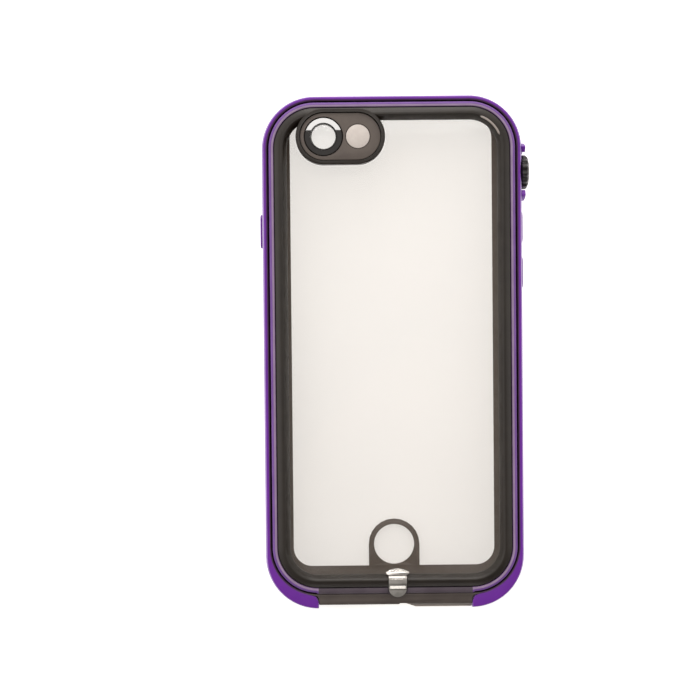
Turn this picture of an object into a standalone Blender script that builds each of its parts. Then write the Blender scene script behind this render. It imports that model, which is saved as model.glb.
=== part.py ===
"""Waterproof case for a 4.7 inch phone.

The case lies as it rests on a table, screen side down, with its clear back up.
X runs across it, towards the side with the mute dial. Y runs along it, towards the camera end.
Z points up, and Z = 0 is the front rim, which the case rests on.
"""

import math

import bmesh
import bpy
from mathutils import Vector

MM = 0.001

# The phone that the case holds, and the play around it
PHONE_WIDTH = 67.0 * MM
PHONE_LENGTH = 138.1 * MM
PHONE_THICKNESS = 7.0 * MM
PHONE_CENTRE_Y = 1.4 * MM
SIDE_PLAY = 0.4 * MM
END_PLAY = 0.2 * MM
FRONT_PLAY = 0.3 * MM
BACK_PLAY = 0.2 * MM
CAVITY_CORNER = 11.55 * MM

# Clearances between pieces
FIT = 0.3 * MM
SEAL_FIT = 0.2 * MM

# Walls, counted outwards from the phone cavity
SKIRT_WALL = 1.2 * MM
FRAME_WALL = 0.9 * MM
BUMPER_WALL = 1.1 * MM
BUMPER_BOTTOM_EXTRA = 2.95 * MM
APRON_REACH = 5.3 * MM
APRON_HALF = 22.3 * MM
APRON_BEVEL = 0.35 * MM

# The bumper's section
BUMPER_END_RADIUS = 1.6 * MM
BUMPER_LOW = 0.6 * MM
BUMPER_INNER_RISE = 0.4 * MM
BUMPER_TUCK = 0.9 * MM
BUMPER_TUCK_HEIGHT = 2.2 * MM
BUMPER_LEAN = 0.65 * MM
BUMPER_LEAN_HEIGHT = 2.7 * MM
BUMPER_TOP_FALL = 0.1 * MM

# Levels of the front half
FILM_RECESS = 0.3 * MM
FILM_THICKNESS = 0.3 * MM
FLANGE_THICKNESS = 0.6 * MM
RIM_INSET = 0.95 * MM
RIM_CHAMFER = 0.8 * MM
WINDOW_SIDE_MARGIN = 4.1 * MM
WINDOW_BOTTOM_MARGIN = 4.45 * MM
WINDOW_TOP_MARGIN = 2.05 * MM
WINDOW_CORNER = 5.5 * MM

# The groove line along the seam, where the two halves meet
SEAM_RISE = 1.0 * MM
SEAM_LAND = 0.5 * MM
SEAM_FLARE = 0.25 * MM
SEAM_GROOVE = 0.5 * MM

# The back cover
SKIRT_DEPTH = 1.7 * MM
SKIRT_CHAMFER = 0.15 * MM
GROOVE_DEPTH = 0.7 * MM
GROOVE_HEIGHT = 0.9 * MM
GROOVE_LIFT = 0.25 * MM
PANEL_THICKNESS = 1.2 * MM
PANEL_DROP = 0.3 * MM
PANEL_SEAT = 1.05 * MM
PANEL_BED = 0.05 * MM
RIDGE_RISE = 2.1 * MM
RIDGE_START = 0.05 * MM
RIDGE_CROWN = 2.0 * MM
RIDGE_INNER = 3.55 * MM
RIDGE_SHOULDER = 0.9 * MM
RIDGE_EDGE = 0.15 * MM
RIDGE_OUTER_CURVE = 1.6
RIDGE_INNER_CURVE = 1.5
LIP_WIDTH = 1.4 * MM
LIP_RISE = 1.5 * MM
LIP_CROWN_HEIGHT = 0.8 * MM
LIP_CROWN_WIDTH = 0.75 * MM
LIP_EDGE = 0.25 * MM
GASKET_ROUNDING = 0.15 * MM

# Touch ring over the phone's round key
KEY_FROM_END = 10.65 * MM
KEY_HOLE_RADIUS = 5.95 * MM
KEY_RING_WIDTH = 1.55 * MM
KEY_FILM_OVERLAP = 0.6 * MM

# Camera window
CAMERA_X = -14.8 * MM
CAMERA_FROM_END = 8.05 * MM
CAMERA_LENGTH = 25.8 * MM
CAMERA_WIDTH = 16.1 * MM
CAMERA_RIM = 1.1 * MM
CAMERA_RIM_ROUNDING = 0.35 * MM
CAMERA_LEDGE = 1.0 * MM
CAMERA_PLATE_THICKNESS = 2.1 * MM
CAMERA_PLATE_DROP = 0.5 * MM
LENS_SPACING = 9.9 * MM
LENS_SHIFT = 0.1 * MM
LENS_RADIUS = 5.5 * MM
LENS_BORE_RADIUS = 3.45 * MM
LENS_GLASS_THICKNESS = 0.7 * MM
LENS_RING_THICKNESS = 0.85 * MM
LENS_RING_CHAMFER = 0.2 * MM
LENS_RING_SLOPE = 0.5 * MM
LENS_SEAT = 1.3 * MM
FLASH_RADIUS = 3.4 * MM
FLASH_THICKNESS = 1.3 * MM

# Push buttons on the two long sides
BUTTON_HEIGHT = 3.4 * MM
BUTTON_ROUNDING = 0.3 * MM
BUTTON_TRAVEL = 0.6 * MM
POWER_FROM_END = 34.8 * MM
POWER_LENGTH = 9.8 * MM
POWER_PROUD = 0.66 * MM
VOLUME_UP_FROM_END = 34.25 * MM
VOLUME_DOWN_FROM_END = 47.35 * MM
VOLUME_LENGTH = 9.3 * MM
VOLUME_PROUD = 0.46 * MM
STEM_RADIUS = 0.9 * MM
STEM_SEAL_WIDTH = 0.45 * MM
SEAT_DEPTH = 0.85 * MM
CLIP_WIDTH = 0.55 * MM
CLIP_THICKNESS = 0.35 * MM

# Mute dial
DIAL_FROM_END = 18.15 * MM
DIAL_LIFT = 0.3 * MM
DIAL_RADIUS = 4.95 * MM
DIAL_PROUD = 2.3 * MM
DIAL_FLUTES = 18
DIAL_FLUTE_DEPTH = 0.35 * MM
DIAL_FOOT = 0.5 * MM
DIAL_DOME_HEIGHT = 1.1 * MM
DIAL_DOME_WIDTH = 2.6 * MM
DIAL_SOCKET = 1.8 * MM
DIAL_WELL_CLEARANCE = 0.3 * MM
DIAL_WELL_WALL = 0.5 * MM
SHAFT_RADIUS = 1.1 * MM
CAM_RADIUS = 1.75 * MM
CAM_THICKNESS = 0.6 * MM
GUARD_INNER = 6.4 * MM
GUARD_OUTER = 8.35 * MM
GUARD_PROUD = 1.05 * MM
GUARD_HALF_ANGLE = math.radians(33)

# Port cover in the bottom edge, hinged along its screen side
PORT_LEFT = -6.4 * MM
PORT_RIGHT = 18.4 * MM
PORT_HEIGHT = 4.4 * MM
DOOR_LEFT = -8.6 * MM
DOOR_THICKNESS = 1.8 * MM
DOOR_RECESS = 0.05 * MM
DOOR_END_GAP = 0.1 * MM
DOOR_LOW = 1.5 * MM
DOOR_TOP = 9.3 * MM
LUG_WIDTH = 1.2 * MM
PIN_RADIUS = 0.4 * MM
PIN_FIT = 0.15 * MM
PULL_LEFT = 5.9 * MM
PULL_RAMP = 3.1 * MM
PULL_PROUD = 1.05 * MM
PULL_HEIGHT = 4.2 * MM
PULL_ROUNDING = 0.25 * MM
NAIL_NOTCH_LEFT = 0.6 * MM
NAIL_NOTCH_WIDTH = 4.2 * MM
NAIL_NOTCH_DEPTH = 0.35 * MM
GASKET_WALL = 0.7 * MM
GASKET_REACH = 0.8 * MM
GASKET_SIDE_GAP = 0.4 * MM
GASKET_TOP_GAP = 0.6 * MM

# Loudspeaker holes and the membrane behind them
SPEAKER_X = -15.2 * MM
SPEAKER_PITCH = 2.4 * MM
SPEAKER_HOLES = 4
SPEAKER_RADIUS = 0.8 * MM
MEMBRANE_LENGTH = 9.4 * MM
MEMBRANE_HEIGHT = 3.2 * MM
MEMBRANE_THICKNESS = 0.3 * MM
MEMBRANE_CORNER = 0.6 * MM

# Steel strip that a wrist strap loops round
STRIP_X = 0.6 * MM
STRIP_WIDTH = 5.25 * MM
STRIP_THICKNESS = 0.6 * MM
STRIP_HEAD_WIDTH = 6.7 * MM
STRIP_HEAD_LENGTH = 1.3 * MM
STRIP_REACH = 1.3 * MM
STRIP_CROWN_CUT = 0.5 * MM
STRIP_LIP_CUT = 0.6 * MM
STRIP_BEND = 0.7 * MM
STRIP_EASE = 0.5 * MM
STRIP_KNEE = 0.9 * MM
STRIP_KNEE_DROP = 0.25 * MM

# How finely round shapes are divided
CORNER_STEPS = 10
ROUND_STEPS = 24
SMALL_ROUND_STEPS = 16

# Levels worked out from the sizes above
Z_FILM_LOW = FILM_RECESS
Z_FILM_TOP = Z_FILM_LOW + FILM_THICKNESS
Z_FLANGE_LOW = Z_FILM_TOP + FIT
Z_FLANGE_TOP = Z_FLANGE_LOW + FLANGE_THICKNESS
Z_PHONE_LOW = Z_FLANGE_TOP + FRONT_PLAY
Z_PHONE_MID = Z_PHONE_LOW + PHONE_THICKNESS / 2
Z_PHONE_TOP = Z_PHONE_LOW + PHONE_THICKNESS
Z_PANEL_LOW = Z_PHONE_TOP + BACK_PLAY
Z_PANEL_TOP = Z_PANEL_LOW + PANEL_THICKNESS
Z_RIDGE_LOW = Z_PANEL_TOP + FIT
Z_CROWN = Z_RIDGE_LOW + RIDGE_RISE
Z_WALL_TOP = Z_PANEL_TOP - PANEL_DROP
Z_SEAM_TOP = Z_WALL_TOP + SEAM_RISE
Z_SKIRT_LOW = Z_WALL_TOP - SKIRT_DEPTH
Z_LEDGE = Z_SKIRT_LOW - FIT
Z_LIP_LOW = Z_WALL_TOP + FIT
Z_LIP_TOP = Z_LIP_LOW + LIP_RISE
Z_GROOVE_LOW = Z_SKIRT_LOW + GROOVE_LIFT
Z_GROOVE_TOP = Z_GROOVE_LOW + GROOVE_HEIGHT

# Distances outwards from the cavity wall
OUT_FRAME_INNER = SKIRT_WALL + FIT
OUT_FRAME = OUT_FRAME_INNER + FRAME_WALL
OUT_BUMPER_INNER = OUT_FRAME + FIT
OUT_BUMPER = OUT_BUMPER_INNER + BUMPER_WALL
OUT_SEAM = OUT_FRAME + SEAM_FLARE
OUT_SEAM_INNER = OUT_SEAM - SEAM_LAND
OUT_LIP = OUT_SEAM_INNER - SEAM_GROOVE
OUT_LIP_INNER = OUT_LIP - LIP_WIDTH

X_CAVITY = PHONE_WIDTH / 2 + SIDE_PLAY
X_FRAME = X_CAVITY + OUT_FRAME
X_SIDE = X_CAVITY + OUT_BUMPER
X_DIAL_WELL = X_CAVITY + OUT_BUMPER_INNER + DIAL_WELL_WALL
Y_PHONE_LOW = PHONE_CENTRE_Y - PHONE_LENGTH / 2
Y_PHONE_HIGH = PHONE_CENTRE_Y + PHONE_LENGTH / 2
Y_CAVITY_LOW = Y_PHONE_LOW - END_PLAY
Y_CAVITY_HIGH = Y_PHONE_HIGH + END_PLAY
Y_APRON = Y_CAVITY_LOW - APRON_REACH

# Places counted from the ends of the phone
Y_KEY = Y_PHONE_LOW + KEY_FROM_END
CAMERA_Y = Y_PHONE_HIGH - CAMERA_FROM_END
POWER_Y = Y_PHONE_HIGH - POWER_FROM_END
VOLUME_UP_Y = Y_PHONE_HIGH - VOLUME_UP_FROM_END
VOLUME_DOWN_Y = Y_PHONE_HIGH - VOLUME_DOWN_FROM_END
DIAL_Y = Y_PHONE_HIGH - DIAL_FROM_END
DIAL_Z = Z_PHONE_MID + DIAL_LIFT

# The port cover in its pocket
Y_DOOR_OUTER = Y_APRON + DOOR_RECESS
Y_DOOR_INNER = Y_DOOR_OUTER + DOOR_THICKNESS
Y_POCKET = Y_DOOR_INNER + FIT
Y_HINGE = Y_DOOR_OUTER + DOOR_THICKNESS / 2
Z_HINGE = DOOR_LOW + DOOR_THICKNESS / 2
DOOR_RIGHT = APRON_HALF - DOOR_END_GAP
Z_PORT_LOW = Z_PHONE_MID - PORT_HEIGHT / 2
Z_PORT_TOP = Z_PHONE_MID + PORT_HEIGHT / 2


class Outline:
    """A rectangle with round corners, seen from above."""

    def __init__(self, half_x, y_low, y_high, corner):
        self.half_x = half_x
        self.y_low = y_low
        self.y_high = y_high
        self.corner = corner

    def points(self, out=0.0):
        """The outline moved outwards by a distance, with the same count of points each time."""
        x = self.half_x - self.corner
        centres = (
            (x, self.y_high - self.corner),
            (-x, self.y_high - self.corner),
            (-x, self.y_low + self.corner),
            (x, self.y_low + self.corner),
        )
        radius = self.corner + out
        found = []
        for quarter, (centre_x, centre_y) in enumerate(centres):
            for step in range(CORNER_STEPS + 1):
                angle = math.pi / 2 * (quarter + step / CORNER_STEPS)
                found.append((centre_x + radius * math.cos(angle), centre_y + radius * math.sin(angle)))
        return found


CAVITY = Outline(X_CAVITY, Y_CAVITY_LOW, Y_CAVITY_HIGH, CAVITY_CORNER)
BUMPER_SIDE = Outline(
    X_SIDE,
    Y_CAVITY_LOW - OUT_BUMPER - BUMPER_BOTTOM_EXTRA,
    Y_CAVITY_HIGH + OUT_BUMPER,
    CAVITY_CORNER + OUT_BUMPER,
)
WINDOW = Outline(
    X_CAVITY - WINDOW_SIDE_MARGIN,
    Y_CAVITY_LOW + WINDOW_BOTTOM_MARGIN,
    Y_CAVITY_HIGH - WINDOW_TOP_MARGIN,
    WINDOW_CORNER,
)


def clear_scene():
    for obj in list(bpy.data.objects):
        bpy.data.objects.remove(obj, do_unlink=True)


def material(name, colour, roughness, metallic=0.0, transmission=0.0):
    """A Principled BSDF with one colour, given as linear red, green and blue."""
    made = bpy.data.materials.new(name)
    made.use_nodes = True
    shader = made.node_tree.nodes["Principled BSDF"]
    shader.inputs["Base Color"].default_value = (*colour, 1.0)
    shader.inputs["Roughness"].default_value = roughness
    shader.inputs["Metallic"].default_value = metallic
    shader.inputs["Transmission Weight"].default_value = transmission
    made.diffuse_color = (*colour, 1.0)
    return made


def finish_object(name, bm, finish):
    """Turns a bmesh into an object with its faces pointing out."""
    bmesh.ops.recalc_face_normals(bm, faces=bm.faces)
    mesh = bpy.data.meshes.new(name)
    bm.to_mesh(mesh)
    bm.free()
    obj = bpy.data.objects.new(name, mesh)
    bpy.context.scene.collection.objects.link(obj)
    if finish is not None:
        mesh.materials.append(finish)
        mesh.shade_smooth()
        mesh.set_sharp_from_angle(angle=math.radians(30))
    return obj


def skin(name, loops, finish, closed_tube=False):
    """A solid through loops of equal length, capped at both ends or joined end to end."""
    bm = bmesh.new()
    rows = [[bm.verts.new(point) for point in loop] for loop in loops]
    pairs = list(zip(rows, rows[1:]))
    if closed_tube:
        pairs.append((rows[-1], rows[0]))
    else:
        bm.faces.new(rows[0])
        bm.faces.new(rows[-1])
    for lower, upper in pairs:
        count = len(lower)
        for index in range(count):
            after = (index + 1) % count
            bm.faces.new((lower[index], lower[after], upper[after], upper[index]))
    return finish_object(name, bm, finish)


def band(name, section, finish):
    """A closed ring whose section is a list of (outline, distance outwards, height)."""
    loops = []
    for outline, out, z in section:
        loops.append([(x, y, z) for x, y in outline.points(out)])
    return skin(name, loops, finish, closed_tube=True)


def along_axis(axis, a, b, along):
    """A point from its two places across an axis and its place along it."""
    if axis == "X":
        return (along, a, b)
    if axis == "Y":
        return (a, along, b)
    return (a, b, along)


def prism(name, axis, points, low, high, finish):
    """A flat outline drawn out along an axis."""
    loops = [[along_axis(axis, a, b, end) for a, b in points] for end in (low, high)]
    return skin(name, loops, finish)


def block(name, x_range, y_range, z_range, finish=None):
    corners = [
        (x_range[0], y_range[0]),
        (x_range[1], y_range[0]),
        (x_range[1], y_range[1]),
        (x_range[0], y_range[1]),
    ]
    return prism(name, "Z", corners, z_range[0], z_range[1], finish)


def circle(centre, radius, steps):
    a, b = centre
    turns = [2 * math.pi * step / steps for step in range(steps)]
    return [(a + radius * math.cos(turn), b + radius * math.sin(turn)) for turn in turns]


def slot_shape(centre, length, width, steps, corner=None):
    """A rectangle with round corners, or with half-round ends where no corner is given."""
    radius = width / 2 if corner is None else corner
    a, b = centre
    found = []
    for quarter, (side_a, side_b) in enumerate(((1, 1), (-1, 1), (-1, -1), (1, -1))):
        middle_a = a + side_a * (length / 2 - radius)
        middle_b = b + side_b * (width / 2 - radius)
        for step in range(steps + 1):
            angle = math.pi / 2 * (quarter + step / steps)
            point = (middle_a + radius * math.cos(angle), middle_b + radius * math.sin(angle))
            if not found or math.dist(point, found[-1]) > 1e-7:
                found.append(point)
    if math.dist(found[0], found[-1]) < 1e-7:
        found.pop()
    return found


def turned(name, axis, centre, profile, finish, steps=ROUND_STEPS):
    """A solid round an axis, from a profile of (radius, place along the axis), end to end."""
    loops = []
    for radius, along in profile:
        loops.append([along_axis(axis, a, b, along) for a, b in circle(centre, radius, steps)])
    return skin(name, loops, finish)


def turned_ring(name, axis, centre, section, finish, steps=ROUND_STEPS):
    """A ring round an axis, whose section is a closed list of (radius, place along the axis)."""
    loops = []
    for radius, along in section:
        loops.append([along_axis(axis, a, b, along) for a, b in circle(centre, radius, steps)])
    return skin(name, loops, finish, closed_tube=True)


def boolean(target, other, operation):
    modifier = target.modifiers.new(f"{operation.lower()} {other.name}", "BOOLEAN")
    modifier.operation = operation
    modifier.object = other
    modifier.solver = "EXACT"
    other.hide_render = True
    other.display_type = "WIRE"


def cut(target, cutter):
    boolean(target, cutter, "DIFFERENCE")


def join(target, other):
    boolean(target, other, "UNION")


def soften(obj, width, segments=2):
    """Rounds the sharp rims of a piece."""
    modifier = obj.modifiers.new("soft edges", "BEVEL")
    modifier.width = width
    modifier.segments = segments
    modifier.limit_method = "ANGLE"
    modifier.angle_limit = math.radians(50)


def set_origin(obj, point):
    """Moves the origin of a piece to a point, such as its joint's axis, and leaves the piece in place."""
    shift = Vector(point)
    for vertex in obj.data.vertices:
        vertex.co -= shift
    obj.location = shift


def make_front_frame(finish):
    """The hard front half: rim, screen flange, walls and the block that holds the port cover."""
    section = [
        (CAVITY, OUT_FRAME - RIM_CHAMFER, 0.0),
        (CAVITY, OUT_FRAME, RIM_CHAMFER),
        (CAVITY, OUT_FRAME, Z_WALL_TOP - FIT - SEAM_FLARE),
        (CAVITY, OUT_SEAM, Z_WALL_TOP - FIT),
        (CAVITY, OUT_SEAM, Z_SEAM_TOP),
        (CAVITY, OUT_SEAM_INNER, Z_SEAM_TOP),
        (CAVITY, OUT_SEAM_INNER, Z_WALL_TOP),
        (CAVITY, OUT_FRAME_INNER, Z_WALL_TOP),
        (CAVITY, OUT_FRAME_INNER, Z_LEDGE),
        (CAVITY, 0.0, Z_LEDGE),
        (CAVITY, 0.0, Z_FLANGE_TOP),
        (WINDOW, 0.0, Z_FLANGE_TOP),
        (WINDOW, 0.0, Z_FLANGE_LOW),
        (CAVITY, -RIM_INSET, Z_FLANGE_LOW),
        (CAVITY, -RIM_INSET, 0.0),
    ]
    frame = band("front_frame", section, finish)

    y_inner = Y_CAVITY_LOW - OUT_FRAME_INNER - FRAME_WALL / 2
    right = bumper_end(0.0)
    left = [(-x, y) for x, y in reversed(right)]
    outline = [(right[0][0], y_inner)] + right + left + [(left[-1][0], y_inner)]
    apron = prism("apron_block", "Z", outline, APRON_BEVEL, Z_SEAM_TOP, None)
    soften(apron, APRON_BEVEL, 1)
    join(frame, apron)

    ring_outline = []
    outer = KEY_HOLE_RADIUS + KEY_RING_WIDTH
    for step in range(ROUND_STEPS // 2 + 1):
        angle = math.pi * step / (ROUND_STEPS // 2)
        ring_outline.append((outer * math.cos(angle), Y_KEY + outer * math.sin(angle)))
    foot = WINDOW.y_low - WINDOW_BOTTOM_MARGIN / 2
    ring_outline += [(-outer, foot), (outer, foot)]
    key_ring = prism("key_ring_block", "Z", ring_outline, Z_FLANGE_LOW, Z_FLANGE_TOP, None)
    join(frame, key_ring)
    hole = circle((0.0, Y_KEY), KEY_HOLE_RADIUS, ROUND_STEPS * 2)
    cut(frame, prism("key_hole", "Z", hole, -FIT, Z_PHONE_LOW, None))

    cut_port(frame)
    cut_speaker(frame)
    for name, side, y in button_places():
        cut_side_bore(frame, name, side, y, Z_PHONE_MID, STEM_RADIUS, STEM_SEAL_WIDTH, CLIP_WIDTH)
    cam_margin = CAM_RADIUS - SHAFT_RADIUS
    cut_side_bore(frame, "dial", 1, DIAL_Y, DIAL_Z, SHAFT_RADIUS, STEM_SEAL_WIDTH, cam_margin)
    return frame


def bumper_end(gap):
    """The right side of the block between the bumper's ends, seen from above, from the seam outwards."""
    y_top = Y_CAVITY_LOW - OUT_SEAM + FIT / 2 - gap
    centre_x = APRON_HALF + gap + BUMPER_END_RADIUS
    centre_y = y_top - BUMPER_END_RADIUS
    steps = CORNER_STEPS // 2
    found = []
    for step in range(steps + 1):
        angle = math.pi / 2 * (1 + step / steps)
        x = centre_x + BUMPER_END_RADIUS * math.cos(angle)
        y = centre_y + BUMPER_END_RADIUS * math.sin(angle)
        found.append((x, y))
    found.append((APRON_HALF + gap, Y_APRON))
    return found


def cut_port(frame):
    """The pocket for the port cover, the port opening behind it and the nail notch beside the pull."""
    depth = (Y_APRON - PULL_PROUD - FIT, Y_POCKET)
    pocket = (DOOR_LOW - FIT, DOOR_TOP + FIT)
    past_end = APRON_HALF + FIT
    cut(frame, block("door_pocket", (DOOR_LEFT - FIT, past_end), depth, pocket))
    lug = [(Y_POCKET + FIT, Z_HINGE + DOOR_THICKNESS / 2)] + hinge_nose()
    lug += [(Y_HINGE, DOOR_LOW - FIT), (Y_POCKET + FIT, DOOR_LOW - FIT)]
    for name, left, right, _room in lug_places():
        join(frame, prism(name, "X", lug, left, right, None))
    bore = circle((Y_HINGE, Z_HINGE), PIN_RADIUS + PIN_FIT, SMALL_ROUND_STEPS)
    cut(frame, prism("pin_bore", "X", bore, DOOR_LEFT - FIT, past_end, None))
    middle = ((PORT_LEFT + PORT_RIGHT) / 2, Z_PHONE_MID)
    port = slot_shape(middle, PORT_RIGHT - PORT_LEFT, PORT_HEIGHT, 4, PORT_HEIGHT / 4)
    cut(frame, prism("port_hole", "Y", port, Y_POCKET - FIT, Y_CAVITY_LOW + FIT, None))
    notch_right = NAIL_NOTCH_LEFT + NAIL_NOTCH_WIDTH
    notch = [
        (NAIL_NOTCH_LEFT, Y_APRON - FIT),
        (notch_right, Y_APRON - FIT),
        (notch_right - NAIL_NOTCH_DEPTH, Y_APRON + NAIL_NOTCH_DEPTH),
        (NAIL_NOTCH_LEFT + NAIL_NOTCH_DEPTH * 2, Y_APRON + NAIL_NOTCH_DEPTH),
    ]
    cut(frame, prism("nail_notch", "Z", notch, DOOR_TOP, Z_SEAM_TOP + FIT, None))


def hinge_nose():
    """The half round that faces out round the hinge axis, as seen from the side, from its top down."""
    steps = SMALL_ROUND_STEPS // 2
    found = []
    for step in range(steps + 1):
        angle = math.pi * (0.5 + step / steps)
        y = Y_HINGE + DOOR_THICKNESS / 2 * math.cos(angle)
        found.append((y, Z_HINGE + DOOR_THICKNESS / 2 * math.sin(angle)))
    return found


def lug_places():
    """Each lug of the port cover's hinge: its name, its two ends along X, and the ends of the room round it."""
    left_inner = DOOR_LEFT + LUG_WIDTH
    right_inner = DOOR_RIGHT - LUG_WIDTH
    return (
        ("left_lug", DOOR_LEFT, left_inner, (DOOR_LEFT - 2 * FIT, left_inner + FIT)),
        ("right_lug", right_inner, DOOR_RIGHT, (right_inner - FIT, DOOR_RIGHT + 2 * FIT)),
    )


def cut_speaker(frame):
    """A row of round holes through the bottom wall, and the pocket for the membrane behind it."""
    for index in range(SPEAKER_HOLES):
        x = SPEAKER_X + (index - (SPEAKER_HOLES - 1) / 2) * SPEAKER_PITCH
        hole = circle((x, Z_PHONE_MID), SPEAKER_RADIUS, SMALL_ROUND_STEPS)
        cut(frame, prism(f"speaker_hole_{index}", "Y", hole, Y_APRON - FIT, Y_CAVITY_LOW + FIT, None))
    half_length = MEMBRANE_LENGTH / 2 + SEAL_FIT
    half_height = MEMBRANE_HEIGHT / 2 + SEAL_FIT
    x_range = (SPEAKER_X - half_length, SPEAKER_X + half_length)
    z_range = (Z_PHONE_MID - half_height, Z_PHONE_MID + half_height)
    y_range = (Y_CAVITY_LOW - MEMBRANE_THICKNESS - 2 * SEAL_FIT, Y_CAVITY_LOW + FIT)
    cut(frame, block("membrane_pocket", x_range, y_range, z_range))


def button_places():
    """Each push button: its name, its side and its place along the case."""
    return (
        ("power", -1, POWER_Y),
        ("volume_up", 1, VOLUME_UP_Y),
        ("volume_down", 1, VOLUME_DOWN_Y),
    )


def cut_side_bore(frame, name, side, y, z, radius, seal_width, head_width):
    """A bore through a side wall, with a seat for its head inside and one for its seal outside."""
    bore_radius = radius + SEAL_FIT
    head_radius = radius + head_width + SEAL_FIT
    seal_radius = radius + seal_width + 2 * SEAL_FIT
    profile = [
        (head_radius, side * (X_CAVITY - FIT)),
        (head_radius, side * (X_CAVITY + SEAT_DEPTH)),
        (bore_radius, side * (X_CAVITY + SEAT_DEPTH)),
        (bore_radius, side * (X_FRAME - SEAT_DEPTH)),
        (seal_radius, side * (X_FRAME - SEAT_DEPTH)),
        (seal_radius, side * (X_FRAME + FIT)),
    ]
    cut(frame, turned(f"{name}_bore", "X", (y, z), profile, None, SMALL_ROUND_STEPS))


def make_side_seal(name, side, y, z, radius, finish):
    """The rubber ring that keeps water out round a stem or shaft."""
    inner = radius + SEAL_FIT
    outer = inner + STEM_SEAL_WIDTH
    middle = side * (X_FRAME - SEAT_DEPTH / 2)
    half = SEAT_DEPTH / 2 - SEAL_FIT
    soft = half / 2
    section = [
        (inner, middle - half + soft),
        (inner + soft, middle - half),
        (outer - soft, middle - half),
        (outer, middle - half + soft),
        (outer, middle + half - soft),
        (outer - soft, middle + half),
        (inner + soft, middle + half),
        (inner, middle + half - soft),
    ]
    return turned_ring(name, "X", (y, z), section, finish, SMALL_ROUND_STEPS)


def make_button(name, side, y, length, proud, cap_finish, metal):
    """A push button: its cap in the bumper's window, its stem through the wall and its retaining ring."""
    z = Z_PHONE_MID
    cap_low = X_FRAME + BUTTON_TRAVEL + FIT
    cap_top = X_SIDE + proud
    shape = slot_shape((y, z), length, BUTTON_HEIGHT, 5)
    cap = prism(f"{name}_button", "X", shape, side * cap_low, side * cap_top, cap_finish)
    soften(cap, BUTTON_ROUNDING)
    stem_end = X_CAVITY + SEAL_FIT / 2
    ends = [(STEM_RADIUS, side * stem_end), (STEM_RADIUS, side * (cap_low + FIT))]
    join(cap, turned(f"{name}_stem", "X", (y, z), ends, None, SMALL_ROUND_STEPS))
    set_origin(cap, (side * cap_low, y, z))
    clip_top = X_CAVITY + SEAT_DEPTH - FIT
    clip_low = clip_top - CLIP_THICKNESS
    inner = STEM_RADIUS + PIN_FIT
    outer = STEM_RADIUS + CLIP_WIDTH
    section = [
        (inner, side * clip_low),
        (outer, side * clip_low),
        (outer, side * clip_top),
        (inner, side * clip_top),
    ]
    clip = turned_ring(f"{name}_button_clip", "X", (y, z), section, metal, SMALL_ROUND_STEPS)
    set_origin(clip, (side * cap_low, y, z))


def make_bumper(finish):
    """The soft bumper: a U round both sides and the camera end, thicker at the two bottom corners."""
    section = []
    for share in (0.0, 0.35, 1.0):
        tuck = BUMPER_TUCK * (1 - share) ** 3
        section.append((BUMPER_SIDE, -tuck, BUMPER_LOW + BUMPER_TUCK_HEIGHT * share))
    z_lean = Z_SEAM_TOP - BUMPER_LEAN_HEIGHT
    for share in (0.0, 0.5, 0.8, 1.0):
        section.append((BUMPER_SIDE, -BUMPER_LEAN * share**2, z_lean + BUMPER_LEAN_HEIGHT * share))
    section += [
        (CAVITY, OUT_SEAM + FIT, Z_SEAM_TOP + BUMPER_TOP_FALL),
        (CAVITY, OUT_SEAM + FIT, Z_WALL_TOP - FIT),
        (CAVITY, OUT_BUMPER_INNER, Z_WALL_TOP - FIT - SEAM_FLARE),
        (CAVITY, OUT_BUMPER_INNER, BUMPER_LOW + BUMPER_INNER_RISE),
    ]
    bumper = band("bumper", section, finish)
    right = bumper_end(FIT)
    right[-1] = (right[-1][0], BUMPER_SIDE.y_low - FIT)
    left = [(-x, y) for x, y in reversed(right)]
    y_inner = Y_CAVITY_LOW
    outline = [(right[0][0], y_inner)] + right + left + [(left[-1][0], y_inner)]
    cut(bumper, prism("bumper_gap", "Z", outline, -FIT, Z_CROWN, None))

    guard_low = X_FRAME + BUMPER_WALL
    for direction in (0.0, math.pi):
        join(bumper, make_guard(direction, guard_low))
    well = circle((DIAL_Y, DIAL_Z), DIAL_RADIUS + DIAL_WELL_CLEARANCE, ROUND_STEPS * 2)
    cut(bumper, prism("dial_well", "X", well, X_DIAL_WELL, X_SIDE + DIAL_PROUD, None))
    shaft_hole = circle((DIAL_Y, DIAL_Z), SHAFT_RADIUS + SEAL_FIT, SMALL_ROUND_STEPS)
    cut(bumper, prism("shaft_hole", "X", shaft_hole, X_CAVITY, X_SIDE, None))
    for name, side, y in button_places():
        length = POWER_LENGTH if name == "power" else VOLUME_LENGTH
        shape = slot_shape((y, Z_PHONE_MID), length + 2 * FIT, BUTTON_HEIGHT + 2 * FIT, 5)
        window = prism(f"{name}_window", "X", shape, side * X_CAVITY, side * (X_SIDE + FIT), None)
        cut(bumper, window)
    return bumper


def make_guard(direction, low):
    """One of the two curved nubs beside the dial, which keep it from being knocked."""
    steps = 6
    outer = []
    inner = []
    for step in range(steps + 1):
        angle = direction + GUARD_HALF_ANGLE * (2 * step / steps - 1)
        outer.append((DIAL_Y + GUARD_OUTER * math.cos(angle), DIAL_Z + GUARD_OUTER * math.sin(angle)))
        inner.append((DIAL_Y + GUARD_INNER * math.cos(angle), DIAL_Z + GUARD_INNER * math.sin(angle)))
    name = "upper_guard" if direction == 0.0 else "lower_guard"
    guard = prism(name, "X", outer + inner[::-1], low, X_SIDE + GUARD_PROUD, None)
    soften(guard, BUTTON_ROUNDING)
    return guard


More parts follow.
